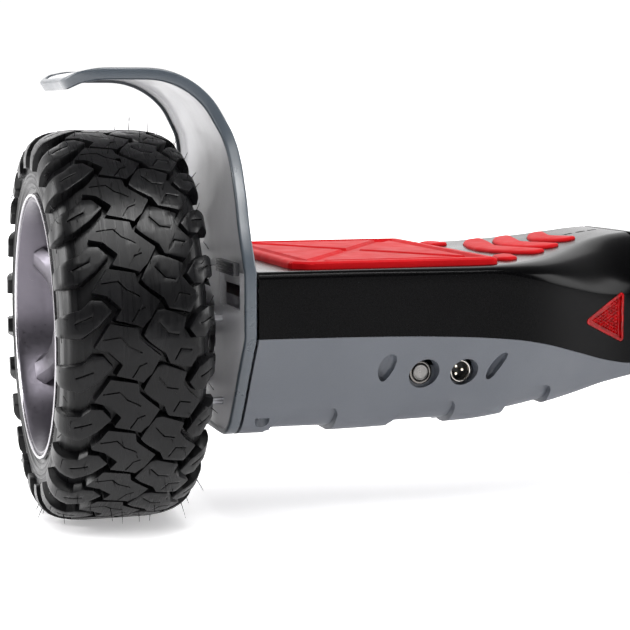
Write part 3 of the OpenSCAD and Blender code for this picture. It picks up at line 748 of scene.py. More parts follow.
def grip_outlines(grow=0.0):
    """Three chevrons and two pills on one half, as closed outlines."""
    out = []
    for c, w, back, reach, tip in ((85, 14, 15, 52, 9), (68, 13, 13, 41, 8), (48.2, 12, 11, 28, 7)):
        half = [(c - 0.12 * back, 0.34 * reach), (c - 0.48 * back, 0.72 * reach), (c - back, reach),
                (c - back - tip, reach - 4), (c - w - 0.62 * (back + tip - w), 0.52 * reach)]
        p = [(c, 0)] + half + [(c - w, 0)] + [(x, -y) for x, y in half[::-1]]
        radii = [26, 40, 40, 4.2, 3.6, 30]
        out.append(rounded(p, radii + [20] + radii[:0:-1], 5))
    for m in (-1, 1):
        p = [(97.5, m * 62), (94.5, m * 47), (86, m * 43), (83, m * 50), (86, m * 65), (93, m * 69)]
        out.append(rounded(p, 4, 5))
    done = []
    for line in out:
        line = line if is_ccw(line) else line[::-1]
        done.append(offset_outline(line, grow - 0.2))
    return done


def lamp_outline(grow=0.0):
    p = [(51.5, 108.6), (20.8, 94.4), (20.8, 125)]
    line = rounded(p, 2.0, 8)
    line = line if is_ccw(line) else line[::-1]
    return offset_outline(line, grow)


# ---------------------------------------------------------------- shells
def mirror_mesh(obj, sd):
    if sd < 0:
        for v in obj.data.vertices:
            v.co.x = -v.co.x
        obj.data.flip_normals()
    return obj


def y_prism(name, outline, y0, y1):
    return prism(name, outline, y0, y1, lambda x, z, h: (x, h, z))


def disc(cx, cy, r, steps=48):
    return [(cx + r * math.cos(2 * math.pi * i / steps), cy + r * math.sin(2 * math.pi * i / steps))
            for i in range(steps)]


def x_prism(name, outline, x0, x1):
    """A solid along X over an outline of (y, z) points."""
    return prism(name, outline, x0, x1, lambda y, z, h: (h, y, z))


SLITS = (9.0, 16.5, 25.0)


def upper_shell(side, sd):
    points, faces, outer = shell(upper_section, GAP, GAP + 3, BODY_END, 2.2)
    obj, ref = make_shell(side + "_upper_shell_skin", 1, points, faces, outer)
    tops = [prism("mat_hole", mat_outline(0.6), 120, 170)]
    tops += [prism("grip_hole", line, 120, 170) for line in grip_outlines(0.35)]
    tops += [prism("slit", rounded([(x - 3, -1.6), (x + 3, -1.6), (x + 3, 1.6), (x - 3, 1.6)], 1.2, 4), 140,
                   170)
             for x in SLITS]
    lamps = [y_prism("lamp_hole", lamp_outline(0.15), min(50 * m, 95 * m), max(50 * m, 95 * m))
             for m in (-1, 1)]
    pivot = x_prism("pivot_hole", disc(0, AXLE_Z, PIVOT_HOLE, 64), -2, 10)
    cut(obj, [join("cutters", tops + lamps + [pivot])])
    tidy(obj, 32)
    reference_normals(obj, ref)
    drop(ref)
    mirror_mesh(obj, sd)
    finish_piece(obj, M["gloss_black"], side + "_half", side + "_upper_shell")


# pockets along the lower edge: centre side, wheel side, and the line of the top edge (s, z)
SCALLOPS = (
    (190.8, 229.5, [(190.8, 60.5), (192.2, 63.6), (196.0, 65.4), (206, 66.0), (214, 65.6), (218.5, 63.8),
                    (223.5, 59.5), (229.5, 51.5)]),
    (122.4, 158.5, [(122.4, 61.5), (123.6, 64.4), (127.0, 66.2), (136, 66.6), (144, 66.3), (148.0, 65.0),
                    (153.0, 60.5), (158.5, 52.5)]),
    (66.0, 92.5, [(66.0, 69.5), (67.2, 71.6), (70.5, 72.8), (76, 73.0), (80, 72.6), (83.5, 71.2),
                  (88.0, 67.4), (92.5, 60.5)]),
)
DIMPLES = (
    (169.0, 88.0, (-2.2, 0.5), [(-4.6, -0.5), (-4.2, 3.2), (-2.2, 6.8), (1.0, 8.2), (4.0, 7.0), (5.1, 3.6),
                                (4.5, -0.8),
                   (2.8, -5.0), (0.8, -8.0), (-1.2, -8.4), (-3.0, -6.2), (-4.2, -3.2)]),
    (105.1, 86.6, (2.0, 2.0), [(3.4, 8.2), (4.6, 7.4), (4.3, 4.0), (2.4, -1.0), (0.2, -5.8), (-1.8, -8.0),
                               (-3.6, -8.2),
                   (-4.7, -5.8), (-4.5, -2.0), (-3.2, 2.0), (-1.0, 5.6), (1.4, 7.6)]),
)


def loft(name, rings):
    """A closed solid through rings of equal length, capped at both ends."""
    n = len(rings[0])
    faces = grid_faces(len(rings), n, wrap_v=True)
    faces += [tuple(range(n - 1, -1, -1)), tuple(range((len(rings) - 1) * n, len(rings) * n))]
    obj = link(name, mesh_from(name, [p for r in rings for p in r], faces))
    bm = bmesh.new()
    bm.from_mesh(obj.data)
    bmesh.ops.recalc_face_normals(bm, faces=bm.faces)
    bm.to_mesh(obj.data)
    bm.free()
    return obj


def section_part(s, d, top, m):
    """Points of the lower section from a height down the side and some way under."""
    line = lower_section(s, d)
    half = line[:len(line) // 2 + 1]
    base = lower_section(s, 0)[:len(half)]
    j = np.arange(len(half))
    first = float(np.interp(-top, -base[:46, 1], j[:46]))
    at = np.linspace(first, 54, 22)
    return [(s, m * -np.interp(k, j, half[:, 0]), np.interp(k, j, half[:, 1])) for k in at]


def pocket(low, high, edge, m, depth=2.8):
    """Cutter for a pocket in the lower edge, with sloping ends."""
    height = curve_through(edge)
    t = np.linspace(0, 1, 45)
    sheets = []
    for d in (6.0, -depth):
        a, b = low - 0.30 * d, high + 0.75 * d
        sheets.append([section_part(a + (b - a) * k, d, float(height(low + (high - low) * k)) + 0.12 * d,
                                    m) for k in t])
    outer, inner = sheets
    nu, nv = len(t), len(outer[0])
    points = [p for r in outer for p in r] + [p for r in inner for p in r]
    return outward(link("pocket", mesh_from("pocket", points, slab_faces(nu, nv))))


def dimple(s0, z0, deep, outline, m):
    """Cutter for a leaf-shaped scoop in the side. The outline is (towards the centre, up)."""
    line = rounded(outline, 1.6, 3)
    rings = []
    for scale, depth in ((1.02, -9), (1.0, 0.3), (0.97, 1.6), (0.91, 3.0), (0.80, 4.0), (0.60, 4.6),
                         (0.3, 4.8)):
        ring = []
        for a, b in line:
            a, b = deep[0] + (a - deep[0]) * scale, deep[1] + (b - deep[1]) * scale
            z = z0 + b
            s = s0 - a
            p, k = float(part_z(s)), float(part_z(s) - under_z(s)) / 58
            y = float(wide_y(s)) - 14 * k * min(1.6, max(0, (p - z) / (20.5 * k)))
            ring.append((s, m * (y - depth), z))
        rings.append(ring)
    return loft("dimple", rings)


def thicken(ports):
    """Pushes the inner skin inward behind the ports, pockets and scoops."""

    def move(grid, outside):
        if outside:
            return grid
        g = grid.copy()
        du = np.gradient(g, axis=0)
        dv = np.gradient(g, axis=1)
        normal = np.cross(du, dv)
        normal /= np.linalg.norm(normal, axis=2)[:, :, None] + 1e-12
        away = (g - np.array((0, 0, 100.0))) * (0, 1, 1)
        flip = np.sign(np.sum(normal * away, axis=2))
        normal *= np.where(flip == 0, 1, flip)[:, :, None]
        depth = np.zeros(g.shape[:2])
        s, y, z = g[:, :, 0], np.abs(g[:, :, 1]), g[:, :, 2]
        for low, high, edge in SCALLOPS:
            top = max(p[1] for p in edge)
            inside = np.minimum(np.minimum(s - low + 7, high - s + 7), top + 7 - z)
            depth = np.maximum(depth, np.where(y > 8, 3.0 * ramp(inside / 6) * ramp((y - 8) / 10), 0))
        for sc, zc, _, _ in DIMPLES:
            depth = np.maximum(depth, np.where(y > 55, 5.0 * ramp((15 - np.hypot(s - sc, z - zc)) / 5), 0))
        for pc in ports:
            near = g[:, :, 1] < -55
            depth = np.maximum(depth, np.where(near, 5.5 * ramp((14 - np.hypot(s - pc, z - PORT_Z)) / 4), 0))
        return g - normal * depth[:, :, None]

    return move


def lower_shell(side, sd):
    ports = ((BUTTON_X, 8.6, 5.9), (SOCKET_X, 7.9, 6.1)) if sd < 0 else ()
    behind = thicken([p[0] for p in ports])
    points, faces, outer = shell(lower_section, GAP, GAP + 3, BODY_END, 1.5, behind)
    obj, ref = make_shell(side + "_lower_shell_skin", 1, points, faces, outer)
    cutters = [x_prism("pivot_hole", disc(0, AXLE_Z, PIVOT_HOLE, 64), -2, 10)]
    for x, wide, bore in ports:
        cutters.append(y_prism("port", disc(x, PORT_Z, wide, 64), -110, PORT_Y))
        cutters.append(y_prism("port", disc(x, PORT_Z, bore, 48), PORT_Y - 0.5, -55))
    for x in (122, 175, 225):
        for m in (-1, 1):
            low = float(under_z(x))
            cutters.append(prism("screw", disc(x, m * 33, 3.5, 24), low - 10, low + 1.9))
    for m in (-1, 1):
        cutters += [pocket(low, high, edge, m) for low, high, edge in SCALLOPS]
        cutters += [dimple(*d, m) for d in DIMPLES]
        cutters.append(prism("side_screw", disc(233.5, m * 59.5, 4.0, 40), 30, 60.5))
    cut(obj, cutters)
    tidy(obj, 30)
    reference_normals(obj, ref, 22)
    drop(ref)
    mirror_mesh(obj, sd)
    finish_piece(obj, M["satin_grey"], side + "_half", side + "_lower_shell")


# ---------------------------------------------------------------- foot mats and grips
def strip(a, b, w):
    a, b = np.array(a, float), np.array(b, float)
    d = (b - a) / np.linalg.norm(b - a)
    n = np.array((-d[1], d[0])) * w / 2
    return [tuple(a + n), tuple(a - n), tuple(b - n), tuple(b + n)]


def distance(px, py, a, b):
    """Distance of points from a segment."""
    ax, ay = a
    dx, dy = b[0] - ax, b[1] - ay
    t = np.clip(((px - ax) * dx + (py - ay) * dy) / (dx * dx + dy * dy + 1e-12), 0, 1)
    return np.hypot(px - ax - t * dx, py - ay - t * dy)


def foot_mat(side, sd):
    """A rubber mat: flange and base under a relief of border and crossing ribs."""
    line = mat_outline()
    step = 0.8
    x = np.arange(MAT_IN - 1.2, MAT_OUT + 1.6, step)
    y = np.arange(-MAT_HALF - 1.2, MAT_HALF + 1.6, step)
    px, py = np.meshgrid(x, y, indexing="ij")
    edge = np.min([distance(px, py, line[i - 1], line[i]) for i in range(len(line))], axis=0)
    reach = MAT_HALF - 8
    cross = [((MAT_IN + 12, -reach), (MAT_OUT - 12, reach)), ((MAT_IN + 12, reach), (MAT_OUT - 12, -reach))]
    channel = np.min([distance(px, py, a, b) for a, b in cross], axis=0)
    field = np.minimum(channel - 3.6, edge - 11.5)
    high = np.maximum(ramp((7.6 - edge) / 1.6), 0.9 * ramp(field / 1.6))
    soft = 2.2 * (1 - np.sqrt(1 - (1 - np.clip(edge / 2.6, 0, 1)) ** 2))
    pz = DECK_Z + 2.2 + 1.8 * high - soft
    nu, nv = px.shape
    n = nu * nv
    top = np.stack([px, py, pz], -1).reshape(-1, 3)
    low = np.stack([px, py, np.full_like(px, MAT_FOOT)], -1).reshape(-1, 3)
    rim = [i * nv for i in range(nu)] + [(nu - 1) * nv + j for j in range(1, nv)]
    rim += [i * nv + nv - 1 for i in range(nu - 2, -1, -1)] + [j for j in range(nv - 2, 0, -1)]
    points = np.concatenate([top, low[rim]])
    faces = grid_faces(nu, nv)
    k = len(rim)
    faces += [(rim[i], rim[(i + 1) % k], n + (i + 1) % k, n + i) for i in range(k)]
    faces.append(tuple(n + i for i in range(k)))
    relief = outward(link(side + "_foot_mat_rubber", mesh_from("relief", points, faces)))
    cut(relief, [prism("outline", line, 130, 160)], "INTERSECT")
    flange = prism("mat_flange", mat_outline(1.6), MAT_FOOT - 1.5, MAT_FOOT + 0.02)
    obj = join(side + "_foot_mat_rubber", [relief, flange])
    tidy(obj, 42)
    mirror_mesh(obj, sd)
    finish_piece(obj, M["mat_red"], side + "_mat", side + "_foot_mat")


def pillow(name, outline, surface, low, crown):
    """A rounded raised pad: follows a surface, with a soft edge and a full middle."""
    line = np.array(outline)
    rows = []
    for k, (d, h) in enumerate([(0, low), (0, 0.0), (0, 0.45), (-0.35, 0.78), (-1.0, 1.0), (-2.0, 1.12)]):
        ring = offset_outline(line, d) if d else line
        height = h if k == 0 else h * crown
        rows.append([(x, y, surface(x) + height) for x, y in ring])
    points = [p for r in rows for p in r]
    n = len(line)
    faces = grid_faces(len(rows), n, wrap_v=True)
    top = (len(rows) - 1) * n
    faces.append(tuple(range(top, top + n)))
    faces.append(tuple(range(n - 1, -1, -1)))
    return link(name, mesh_from(name, points, faces))


def grip_insert(side, sd):
    parts = []
    for line in grip_outlines():
        parts.append(pillow("grip", line, lambda x: float(top_z(x)), -4.2, 1.7))
    obj = join(side + "_grip_rubber", parts)
    bm = bmesh.new()
    bm.from_mesh(obj.data)
    bmesh.ops.triangulate(bm, faces=[f for f in bm.faces if len(f.verts) > 4])
    bm.to_mesh(obj.data)
    bm.free()
    tidy(obj, 50)
    mirror_mesh(obj, sd)
    finish_piece(obj, M["mat_red"], side + "_half", side + "_grip_insert")


# ---------------------------------------------------------------- lamps
def lamp(side, sd, m, kind):
    """A prismatic lens set flush in the face of the shell, with a raised clear rim."""
    line = lamp_outline(-0.15)
    core = y_prism("lens", line, min(m * 60, m * 88), max(m * 60, m * 88))
    s = stations(14, 60, 1.2)
    inner = lamp_outline(-1.7)

    def skin(high, low):
        sheet = [np.array([[(x, y, z) for y, z in upper_section(x, d)] for x in s]) for d in (high, low)]
        nu, nv = sheet[0].shape[:2]
        points = np.concatenate([v.reshape(-1, 3) for v in sheet])
        return tidy(link("skin", mesh_from("skin", points, slab_faces(nu, nv))), 30)

    cut(core, [skin(0.25, -3.6)], "INTERSECT")
    well = y_prism("well", inner, min(m * 60, m * 90), max(m * 60, m * 90))
    cut(well, [skin(3.0, -0.9)], "INTERSECT")
    cut(core, [well])
    tidy(core, 35)
    bevel(core, 0.3, 2, 50)
    core.name = "%s_%s_lens" % (side, kind)
    core.data.name = core.name
    # rows of small prisms standing just under the face
    prisms = []
    for i in range(14):
        for j in range(-9, 10):
            x = 23.4 + 2.0 * i
            z = 108.9 + 1.9 * j + (0.95 if i % 2 else 0)
            if point_in(x, z, offset_outline(inner, -0.9)):
                y = m * (float(wide_y(x)) - 1.1)
                w, h = 0.96, 0.92
                q = [(x - w, y, z - h), (x + w, y, z - h), (x + w, y, z + h), (x - w, y, z + h)]
                prisms.append((q, (x + 0.25, y + m * 0.95, z + 0.1)))
    pts, fcs = [], []
    for q, apex in prisms:
        o = len(pts)
        pts += [(a, b, c) for a, b, c in q] + [apex] + [(a, b - m * 1.5, c) for a, b, c in q]
        fcs += [(o, o + 1, o + 4), (o + 1, o + 2, o + 4), (o + 2, o + 3, o + 4), (o + 3, o, o + 4)]
        fcs += [(o + 5, o + 6, o + 1, o), (o + 6, o + 7, o + 2, o + 1), (o + 7, o + 8, o + 3, o + 2),
                (o + 8, o + 5, o, o + 3), (o + 8, o + 7, o + 6, o + 5)]
    facets = tidy(link("facets", mesh_from("facets", pts, fcs)), 5)
    obj = join("%s_%s_lens" % (side, kind), [core, facets])
    mirror_mesh(obj, sd)
    colour = "lamp_red" if kind == "rear_light" else "lamp_clear"
    finish_piece(obj, M[colour], side + "_half", "%s_%s" % (side, kind))


def point_in(x, y, outline):
    inside = False
    n = len(outline)
    for i in range(n):
        (x0, y0), (x1, y1) = outline[i], outline[(i + 1) % n]
        if (y0 > y) != (y1 > y) and x < (x1 - x0) * (y - y0) / (y1 - y0) + x0:
            inside = not inside
    return inside


# ---------------------------------------------------------------- fender
ARCH_TOP = 1000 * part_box("right_fender")[1][2]
ARCH_END = 1000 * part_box("right_fender")[1][0]
arch_bend = [(257.5 + 45.9 * (math.cos(math.radians(35)) - math.cos(math.radians(a + 0.5))) - 1,
              ARCH_TOP - 45 * (1 - math.sin(math.radians(a + 0.5)))) for a in range(35, 90, 9)]
ARCH_LINE = np.array([(245, 100), (245, 120), (245.2, 140), (246.4, 160), (245.4, 181), (245.0, 194.6),
                      (245.8, 204), (248.0, 213.4), (252.2, 222.2)] + arch_bend
                     + [(ARCH_END - 22, ARCH_TOP - 0.1), (ARCH_END - 9, ARCH_TOP - 2.2),
                        (ARCH_END - 1, ARCH_TOP - 6.5)])
arch_len = np.concatenate([[0], np.cumsum(np.linalg.norm(np.diff(ARCH_LINE, axis=0), axis=1))])
arch_s = curve_through(list(zip(arch_len, ARCH_LINE[:, 0])))
arch_z = curve_through(list(zip(arch_len, ARCH_LINE[:, 1])))
arch_half_z = curve_through([(49, 92.4), (143, 92.4), (150, 91.2), (160, 87.4), (170, 81.4), (181, 74.8),
                             (194.6, 66), (204, 61.6), (213.4, 58.2), (223, 56.2), (232, 55), (260, 54)])
ARCH_TOTAL = float(arch_len[-1])
END_R = 24.0


def arch_point(t, y, depth):
    """A point on the arch at a length t along it, depth millimetres towards the tyre."""
    s, z = float(arch_s(t)), float(arch_z(t))
    ahead, back = (t + 0.5, t - 0.5) if t < ARCH_TOTAL - 0.5 else (t, t - 1)
    ds, dz = float(arch_s(ahead) - arch_s(back)), float(arch_z(ahead) - arch_z(back))
    k = math.hypot(ds, dz) or 1
    return np.array((s + depth * dz / k, y, z - depth * ds / k))


def arch_normal(t):
    return arch_point(t, 0, 1) - arch_point(t, 0, 0)


def arch_width(t):
    """Half width of the arch at a length t along it, with its end corners rounded."""
    h = float(arch_half_z(arch_z(t)))
    x = t - (ARCH_TOTAL - END_R)
    if x > 0:
        h = h - END_R + math.sqrt(max(END_R**2 - x**2, 0))
    return h


def cap_outline(steps_up=10):
    """The end cap's edge from the front deck corner, down and under, to the back one: (y, z)."""
    low = lower_section(BODY_END, 0)
    z = np.linspace(143, part_z(BODY_END) + 1, steps_up)
    front = [(-DECK_HALF, v) for v in z]
    return np.array(front + [tuple(p) for p in low] + [(DECK_HALF, v) for v in z[::-1]])


def lip_path():
    """Closed path of the raised lip: points and the direction towards the tyre."""
    t0 = float(np.interp(143, ARCH_LINE[:9, 1], arch_len[:9]))
    ts = np.concatenate([np.linspace(t0 + 3, ARCH_TOTAL - END_R, 60),
                         ARCH_TOTAL - END_R + END_R * np.sin(np.linspace(0.08, math.pi / 2, 12))])
    path, normal = [], []
    for y, z in cap_outline()[::3]:
        path.append((BODY_END + 1, y, z))
        normal.append((1, 0, 0))
    for t in ts:
        path.append(arch_point(t, arch_width(t), 0))
        normal.append(arch_normal(t))
    wide = arch_width(ARCH_TOTAL)
    for y in np.linspace(wide, -wide, 12)[1:-1]:
        path.append(arch_point(ARCH_TOTAL, y, 0))
        normal.append(arch_normal(ARCH_TOTAL))
    for t in ts[::-1]:
        path.append(arch_point(t, -arch_width(t), 0))
        normal.append(arch_normal(t))
    return np.array(path, float), np.array(normal, float)


def fender(side, sd):
    path, normal = lip_path()
    n = len(path)
    tangent = np.roll(path, -1, 0) - np.roll(path, 1, 0)
    tangent /= np.linalg.norm(tangent, axis=1)[:, None]
    inward = np.cross(normal, tangent)
    inward /= np.linalg.norm(inward, axis=1)[:, None]
    mid = np.array((250, 0, 120.0))
    if np.sum(inward[5] * (mid - path[5])) < 0:
        inward = -inward
    # lip section: (towards the tyre, inward)
    section = rounded([(0.0, 0.0), (6.4, 0.0), (6.4, 3.6), (0.0, 3.6)], [1.3, 1.5, 0.9, 0.4], 5)
    points = [path[i] + normal[i] * a + inward[i] * b for i in range(n) for a, b in section]
    lip = link("lip", mesh_from("lip", side_of(points, sd), grid_faces(n, len(section), True, True)))
    tidy(lip, 50)
    lip.name = lip.data.name = side + "_fender_lip"
    finish_piece(lip, M["arch_lip"], side + "_half", side + "_fender")

    # the arch's panel, a thin dished sheet between the lips
    ts = np.linspace(float(np.interp(134, ARCH_LINE[:9, 1], arch_len[:9])), ARCH_TOTAL - 2.4, 84)
    across = np.linspace(-1, 1, 41)
    faces_t, faces_b = [], []
    for t in ts:
        w = arch_width(min(t + 0.0, ARCH_TOTAL)) - 2.6
        if t > ARCH_TOTAL - END_R:
            x = t - (ARCH_TOTAL - END_R)
            r = END_R - 2.4
            w = float(arch_half_z(arch_z(t))) - END_R + math.sqrt(max(r * r - x * x, 0)) - 0.2
        row_t, row_b = [], []
        for a in across:
            edge = ramp((1 - abs(a)) * w / 7)
            row_t.append(arch_point(t, a * w, 5.0 - 2.0 * edge))
            row_b.append(arch_point(t, a * w, 1.0 - 0.6 * edge + 0.4))
        faces_t.append(row_t)
        faces_b.append(row_b)
    top, bottom = np.array(faces_t), np.array(faces_b)
    nu, nv = top.shape[:2]
    points = np.concatenate([top.reshape(-1, 3), bottom.reshape(-1, 3)])
    panel = tidy(link("panel", mesh_from("panel", points, slab_faces(nu, nv))), 40)

    # the plate behind the lip, from the deck down, with a slot at the front and at the back
    outline = [tuple(p) for p in offset_outline(np.array(cap_outline()[::2])[::1],
                                                -2.0 if is_ccw(cap_outline()) else 2.0)]
    plate = x_prism("plate", outline, 247.2, 250.6)
    holes = [x_prism("slot", rounded([(m * 37, 121), (m * 78, 121), (m * 78, 139.6), (m * 37, 139.6)], 0.9,
                                     3), 240, 260)
             for m in (-1, 1)]
    holes.append(x_prism("axle_hole", disc(0, AXLE_Z, AXLE_HOLE, 64), 240, 270))
    cut(plate, [join("holes", holes)])
    tidy(plate, 40)

    # the bulge round the lower half of the axle
    low = [tuple(p) for p in cap_outline() if p[1] <= 107.5]
    shape = rounded([low[0]] + low[1:-1:3] + [low[-1]], [7] + [3] * len(low[1:-1:3]) + [7], 3)
    shape = shape if is_ccw(shape) else shape[::-1]
    rings = [(0.0, 249.5), (-3.2, 249.5), (-3.4, 252.0), (-4.0, 255.0), (-5.2, 257.6), (-7.2, 259.8),
             (-10, 261.2), (-14, 261.9),
             (-19, 262.1)]
    rows = [[(s, y, z) for y, z in (offset_outline(np.array(shape), d) if d else shape)] for d,
            s in rings[1:]]
    points = [p for r in rows for p in r]
    k = len(shape)
    faces = grid_faces(len(rows), k, wrap_v=True)
    faces.append(tuple(range((len(rows) - 1) * k, len(rows) * k)))
    faces.append(tuple(range(k - 1, -1, -1)))
    bulge = tidy(link("bulge", mesh_from("bulge", points, faces)), 40)
    cut(bulge, [x_prism("axle_hole", disc(0, AXLE_Z, AXLE_HOLE, 64), 240, 270)])
    tidy(bulge, 40)
    body = join(side + "_fender_panel", [panel, plate, bulge])
    mirror_mesh(body, sd)
    finish_piece(body, M["arch_silver"], side + "_half", side + "_fender")


def clip(side, sd):
    """The ribbed latch bars over the fender's slots."""
    parts = []
    for m in (-1, 1):
        near, far = sorted((m * 39.6, m * 77.4))
        block = x_prism("block", [(near, 139.85), (far, 139.85), (far, 146.7), (near, 146.7)], 250.5, 253.95)
        grooves = [prism("groove", [(253.5, near - 1), (256, near - 1), (256, far + 1), (253.5, far + 1)],
                         z, z + 0.5)
                   for z in (141.0, 142.4, 143.8, 145.2)]
        cut(block, [join("grooves", grooves)])
        parts.append(bevel(block, 0.3, 2, 40))
    obj = tidy(join(side + "_fender_latches", parts), 30)
    mirror_mesh(obj, sd)
    finish_piece(obj, M["clip_black"], side + "_half", side + "_fender_clips")


# ---------------------------------------------------------------- power button and charging socket
def ports():
    """Turned metal parts on the back of the left half."""
    back = [(14.0, 4.0), (14.0, 5.8), (10.6, 5.8), (10.6, 7.5), (7.6, 7.5), (7.6, 5.8), (0.0, 5.8)]
    front = [(0.0, 6.4), (-0.4, 6.75), (-0.8, 6.8), (-1.2, 6.6), (-1.5, 6.1), (-1.6, 5.6), (-1.55, 5.25),
             (-1.3, 4.95), (-0.8, 4.78), (9.0, 4.7), (9.0, 4.0)]
    bezel = turned("power_button_bezel", back + front, 96, "Y", (-BUTTON_X, PORT_Y, PORT_Z))
    finish_piece(bezel, M["dark_steel"], "left_half", "power_button_housing")
    face = [(6.0, 0.0), (6.0, 4.55), (-1.2, 4.55), (-1.6, 4.45), (-1.85, 4.2), (-1.9, 3.95), (-1.8, 3.75),
            (-1.72, 3.6)]
    for i in range(12):
        r = 3.5 - 0.28 * i
        face += [(-1.72 + 0.035 * (i % 2), r)]
    face.append((-1.72, 0.0))
    cap = turned("power_button_face", face, 96, "Y", (-BUTTON_X, PORT_Y, PORT_Z), closed=False)
    finish_piece(cap, M["spun_metal"], "power_button", "power_button_cap")
    ring = [(12.0, 4.9), (12.0, 6.0), (10.6, 6.0), (10.6, 7.5), (7.6, 7.5), (7.6, 6.0), (0.0, 6.0),
            (0.0, 6.6), (-0.3, 6.8),
            (-1.1, 6.8), (-1.9, 6.62), (-2.4, 6.2), (-2.6, 5.7), (-2.5, 5.3), (-2.2, 5.08), (-1.6, 4.96),
            (-0.8, 4.9)]
    socket = turned("charge_socket_ring", ring, 96, "Y", (-SOCKET_X, PORT_Y, PORT_Z))
    finish_piece(socket, M["bright_ring"], "left_half", "charge_socket")


# ---------------------------------------------------------------- tyre
PITCHES = 24
PITCH = 2 * math.pi * TYRE_R / PITCHES
# tyre section: half width and radius from the crown down to the bead
SECTION = np.array([(0, 0), (16, 0), (24, -0.7), (30, -2.0), (35, -4.4), (38.3, -7.8), (40.2, -12), (41, -17),
                    (40.8, -22), (39.8, -27), (38, -31.5), (36.2, -34.8)]) * (TYRE_W / 82, 1) + (0, TYRE_R)
section_len = np.concatenate([[0], np.cumsum(np.linalg.norm(np.diff(SECTION, axis=0), axis=1))])
section_w = curve_through(list(zip(section_len, SECTION[:, 0])))
section_r = curve_through(list(zip(section_len, SECTION[:, 1])))
SHOULDER = float(section_len[5])
WALL = float(section_len[7])


def wrap(t, u, h):
    """Tyre surface point: t across the section, u round the tyre, h above the surface (mm)."""
    t, u, h = (np.asarray(v, float) for v in (t, u, h))
    a = np.abs(t)
    w, r = section_w(a), section_r(a)
    dw = section_w(a + 0.4) - section_w(np.maximum(a - 0.4, 0))
    dr = section_r(a + 0.4) - section_r(np.maximum(a - 0.4, 0))
    k = np.hypot(dw, dr) + 1e-9
    w = (w - h * dr / k) * np.sign(t + 1e-12)
    r = r + h * dw / k
    angle = u / TYRE_R
    return np.stack([w, -r * np.cos(angle), r * np.sin(angle)], -1)


BLOCKS = {
    "a": [(-16.9, 12.8), (-3.1, 10.0), (-2.1, 4.9), (4.5, 0.7), (10.5, -4.7), (5.9, -13.9), (0.3, -18.6),
          (-14.7, -14.3), (-11.4, -8.5), (-17.6, -2.2), (-25.5, 0)],
    "b": [(8.3, 18.9), (0.3, 6.1), (5.2, 1.7), (11.5, -3.5), (13.6, -8.9), (25.1, -11.6), (31.3, -1.7),
          (25.1, 3.8), (21.4, 9.0), (23.1, 14.9), (16.2, 17.7), (11.4, 19.5)],
    "l": [(-54, -12.1), (-47, -11.1), (-31, -7.8), (-26, -3.3), (-20.2, -3.6), (-14.8, -9.6), (-22.3, -17.3),
          (-31.5, -23.6), (-47, -23.4), (-54, -22.4)],
    "r": [(23.8, 9.0), (29.3, 17), (36.5, 20.8), (47, 21.5), (54, 20.5), (54, 11.4), (47, 10.4),
          (37.5, 9.0), (33.4, 3.8),
          (27.6, 3.8)],
}
# thin cuts in the block tops, as lines: sipes
SIPES = {
    "a": [[(-20.0, 4.5), (-12.0, 5.5), (-8.5, 1.0), (-1.5, -2.5)],
          [(-6.5, -15.0), (-3.0, -9.5), (2.5, -8.0)]],
    "b": [[(9.0, 12.5), (13.0, 7.0), (18.0, 6.0)], [(16.5, -6.5), (19.5, -1.0), (25.0, -2.0)]],
    "l": [[(-34.0, -15.5), (-25.5, -12.0)]],
    "r": [[(31.0, 11.5), (38.5, 14.5)]],
}


def flat_block(name, outline, depth, shrink=0.45):
    """One tread block in flat space, with sloping walls; tread_cell cuts its thin sipes and softens its top
    edge.
    """
    line = outline if is_ccw(outline) else outline[::-1]
    line = rounded(line, 0.9, 2)
    top = offset_outline(line, -shrink)
    foot = offset_outline(line, 0.55)
    n = len(line)
    rows = [[(x, y, -depth - 1.5) for x, y in foot], [(x, y, 0) for x, y in top]]
    faces = grid_faces(2, n, wrap_v=True)
    faces += [tuple(range(n - 1, -1, -1)), tuple(range(n, 2 * n))]
    return link(name, mesh_from(name, [p for r in rows for p in r], faces))


BLOCK_DEPTH = 6.0
# where the vent hairs of one pitch stand: (across, round the tyre)
HAIR_SPOTS = ((-46, -17), (-38, -14), (-29, -14), (-20, 6), (-9, 3), (1, -8), (9, 14), (18, 2), (24, -6),
              (33, 14), (41, 15), (46, 13), (-43, 0), (44, -3))


def tread_cell():
    """All blocks of one pitch, flat, bevelled and cut fine enough to wrap."""
    cells = []
    for key, outline in BLOCKS.items():
        obj = outward(flat_block(key, outline, BLOCK_DEPTH))
        cutters = []
        for line in SIPES[key]:
            for a, b in zip(line, line[1:]):
                a, b = np.array(a), np.array(b)
                d = (b - a) / np.linalg.norm(b - a) * 0.35
                cutters.append(prism("sipe", strip(a - d, b + d, 0.75), -1.6, 2))
        cut(obj, cutters)
        bevel(obj, 0.38, 2, 35)
        cells.append(obj)
    cell = join("cell", cells)
    bm = bmesh.new()
    bm.from_mesh(cell.data)
    for axis, spots in ((0, np.arange(-52, 53, 4.0)), (1, np.arange(-24, 25, 4.0))):
        for v in spots:
            plane = Vector((v * MM, 0, 0)) if axis == 0 else Vector((0, v * MM, 0))
            normal = Vector((1, 0, 0)) if axis == 0 else Vector((0, 1, 0))
            bmesh.ops.bisect_plane(
                bm, geom=bm.verts[:] + bm.edges[:] + bm.faces[:], dist=1e-7, plane_co=plane, plane_no=normal
            )
    # the hidden undersides are dropped
    low = [f for f in bm.faces if f.normal.z < -0.9]
    bmesh.ops.delete(bm, geom=low, context="FACES")
    bm.verts.ensure_lookup_table()
    points = np.array([v.co[:] for v in bm.verts]) / MM
    faces = [tuple(v.index for v in f.verts) for f in bm.faces]
    bm.free()
    drop(cell)
    return points, faces


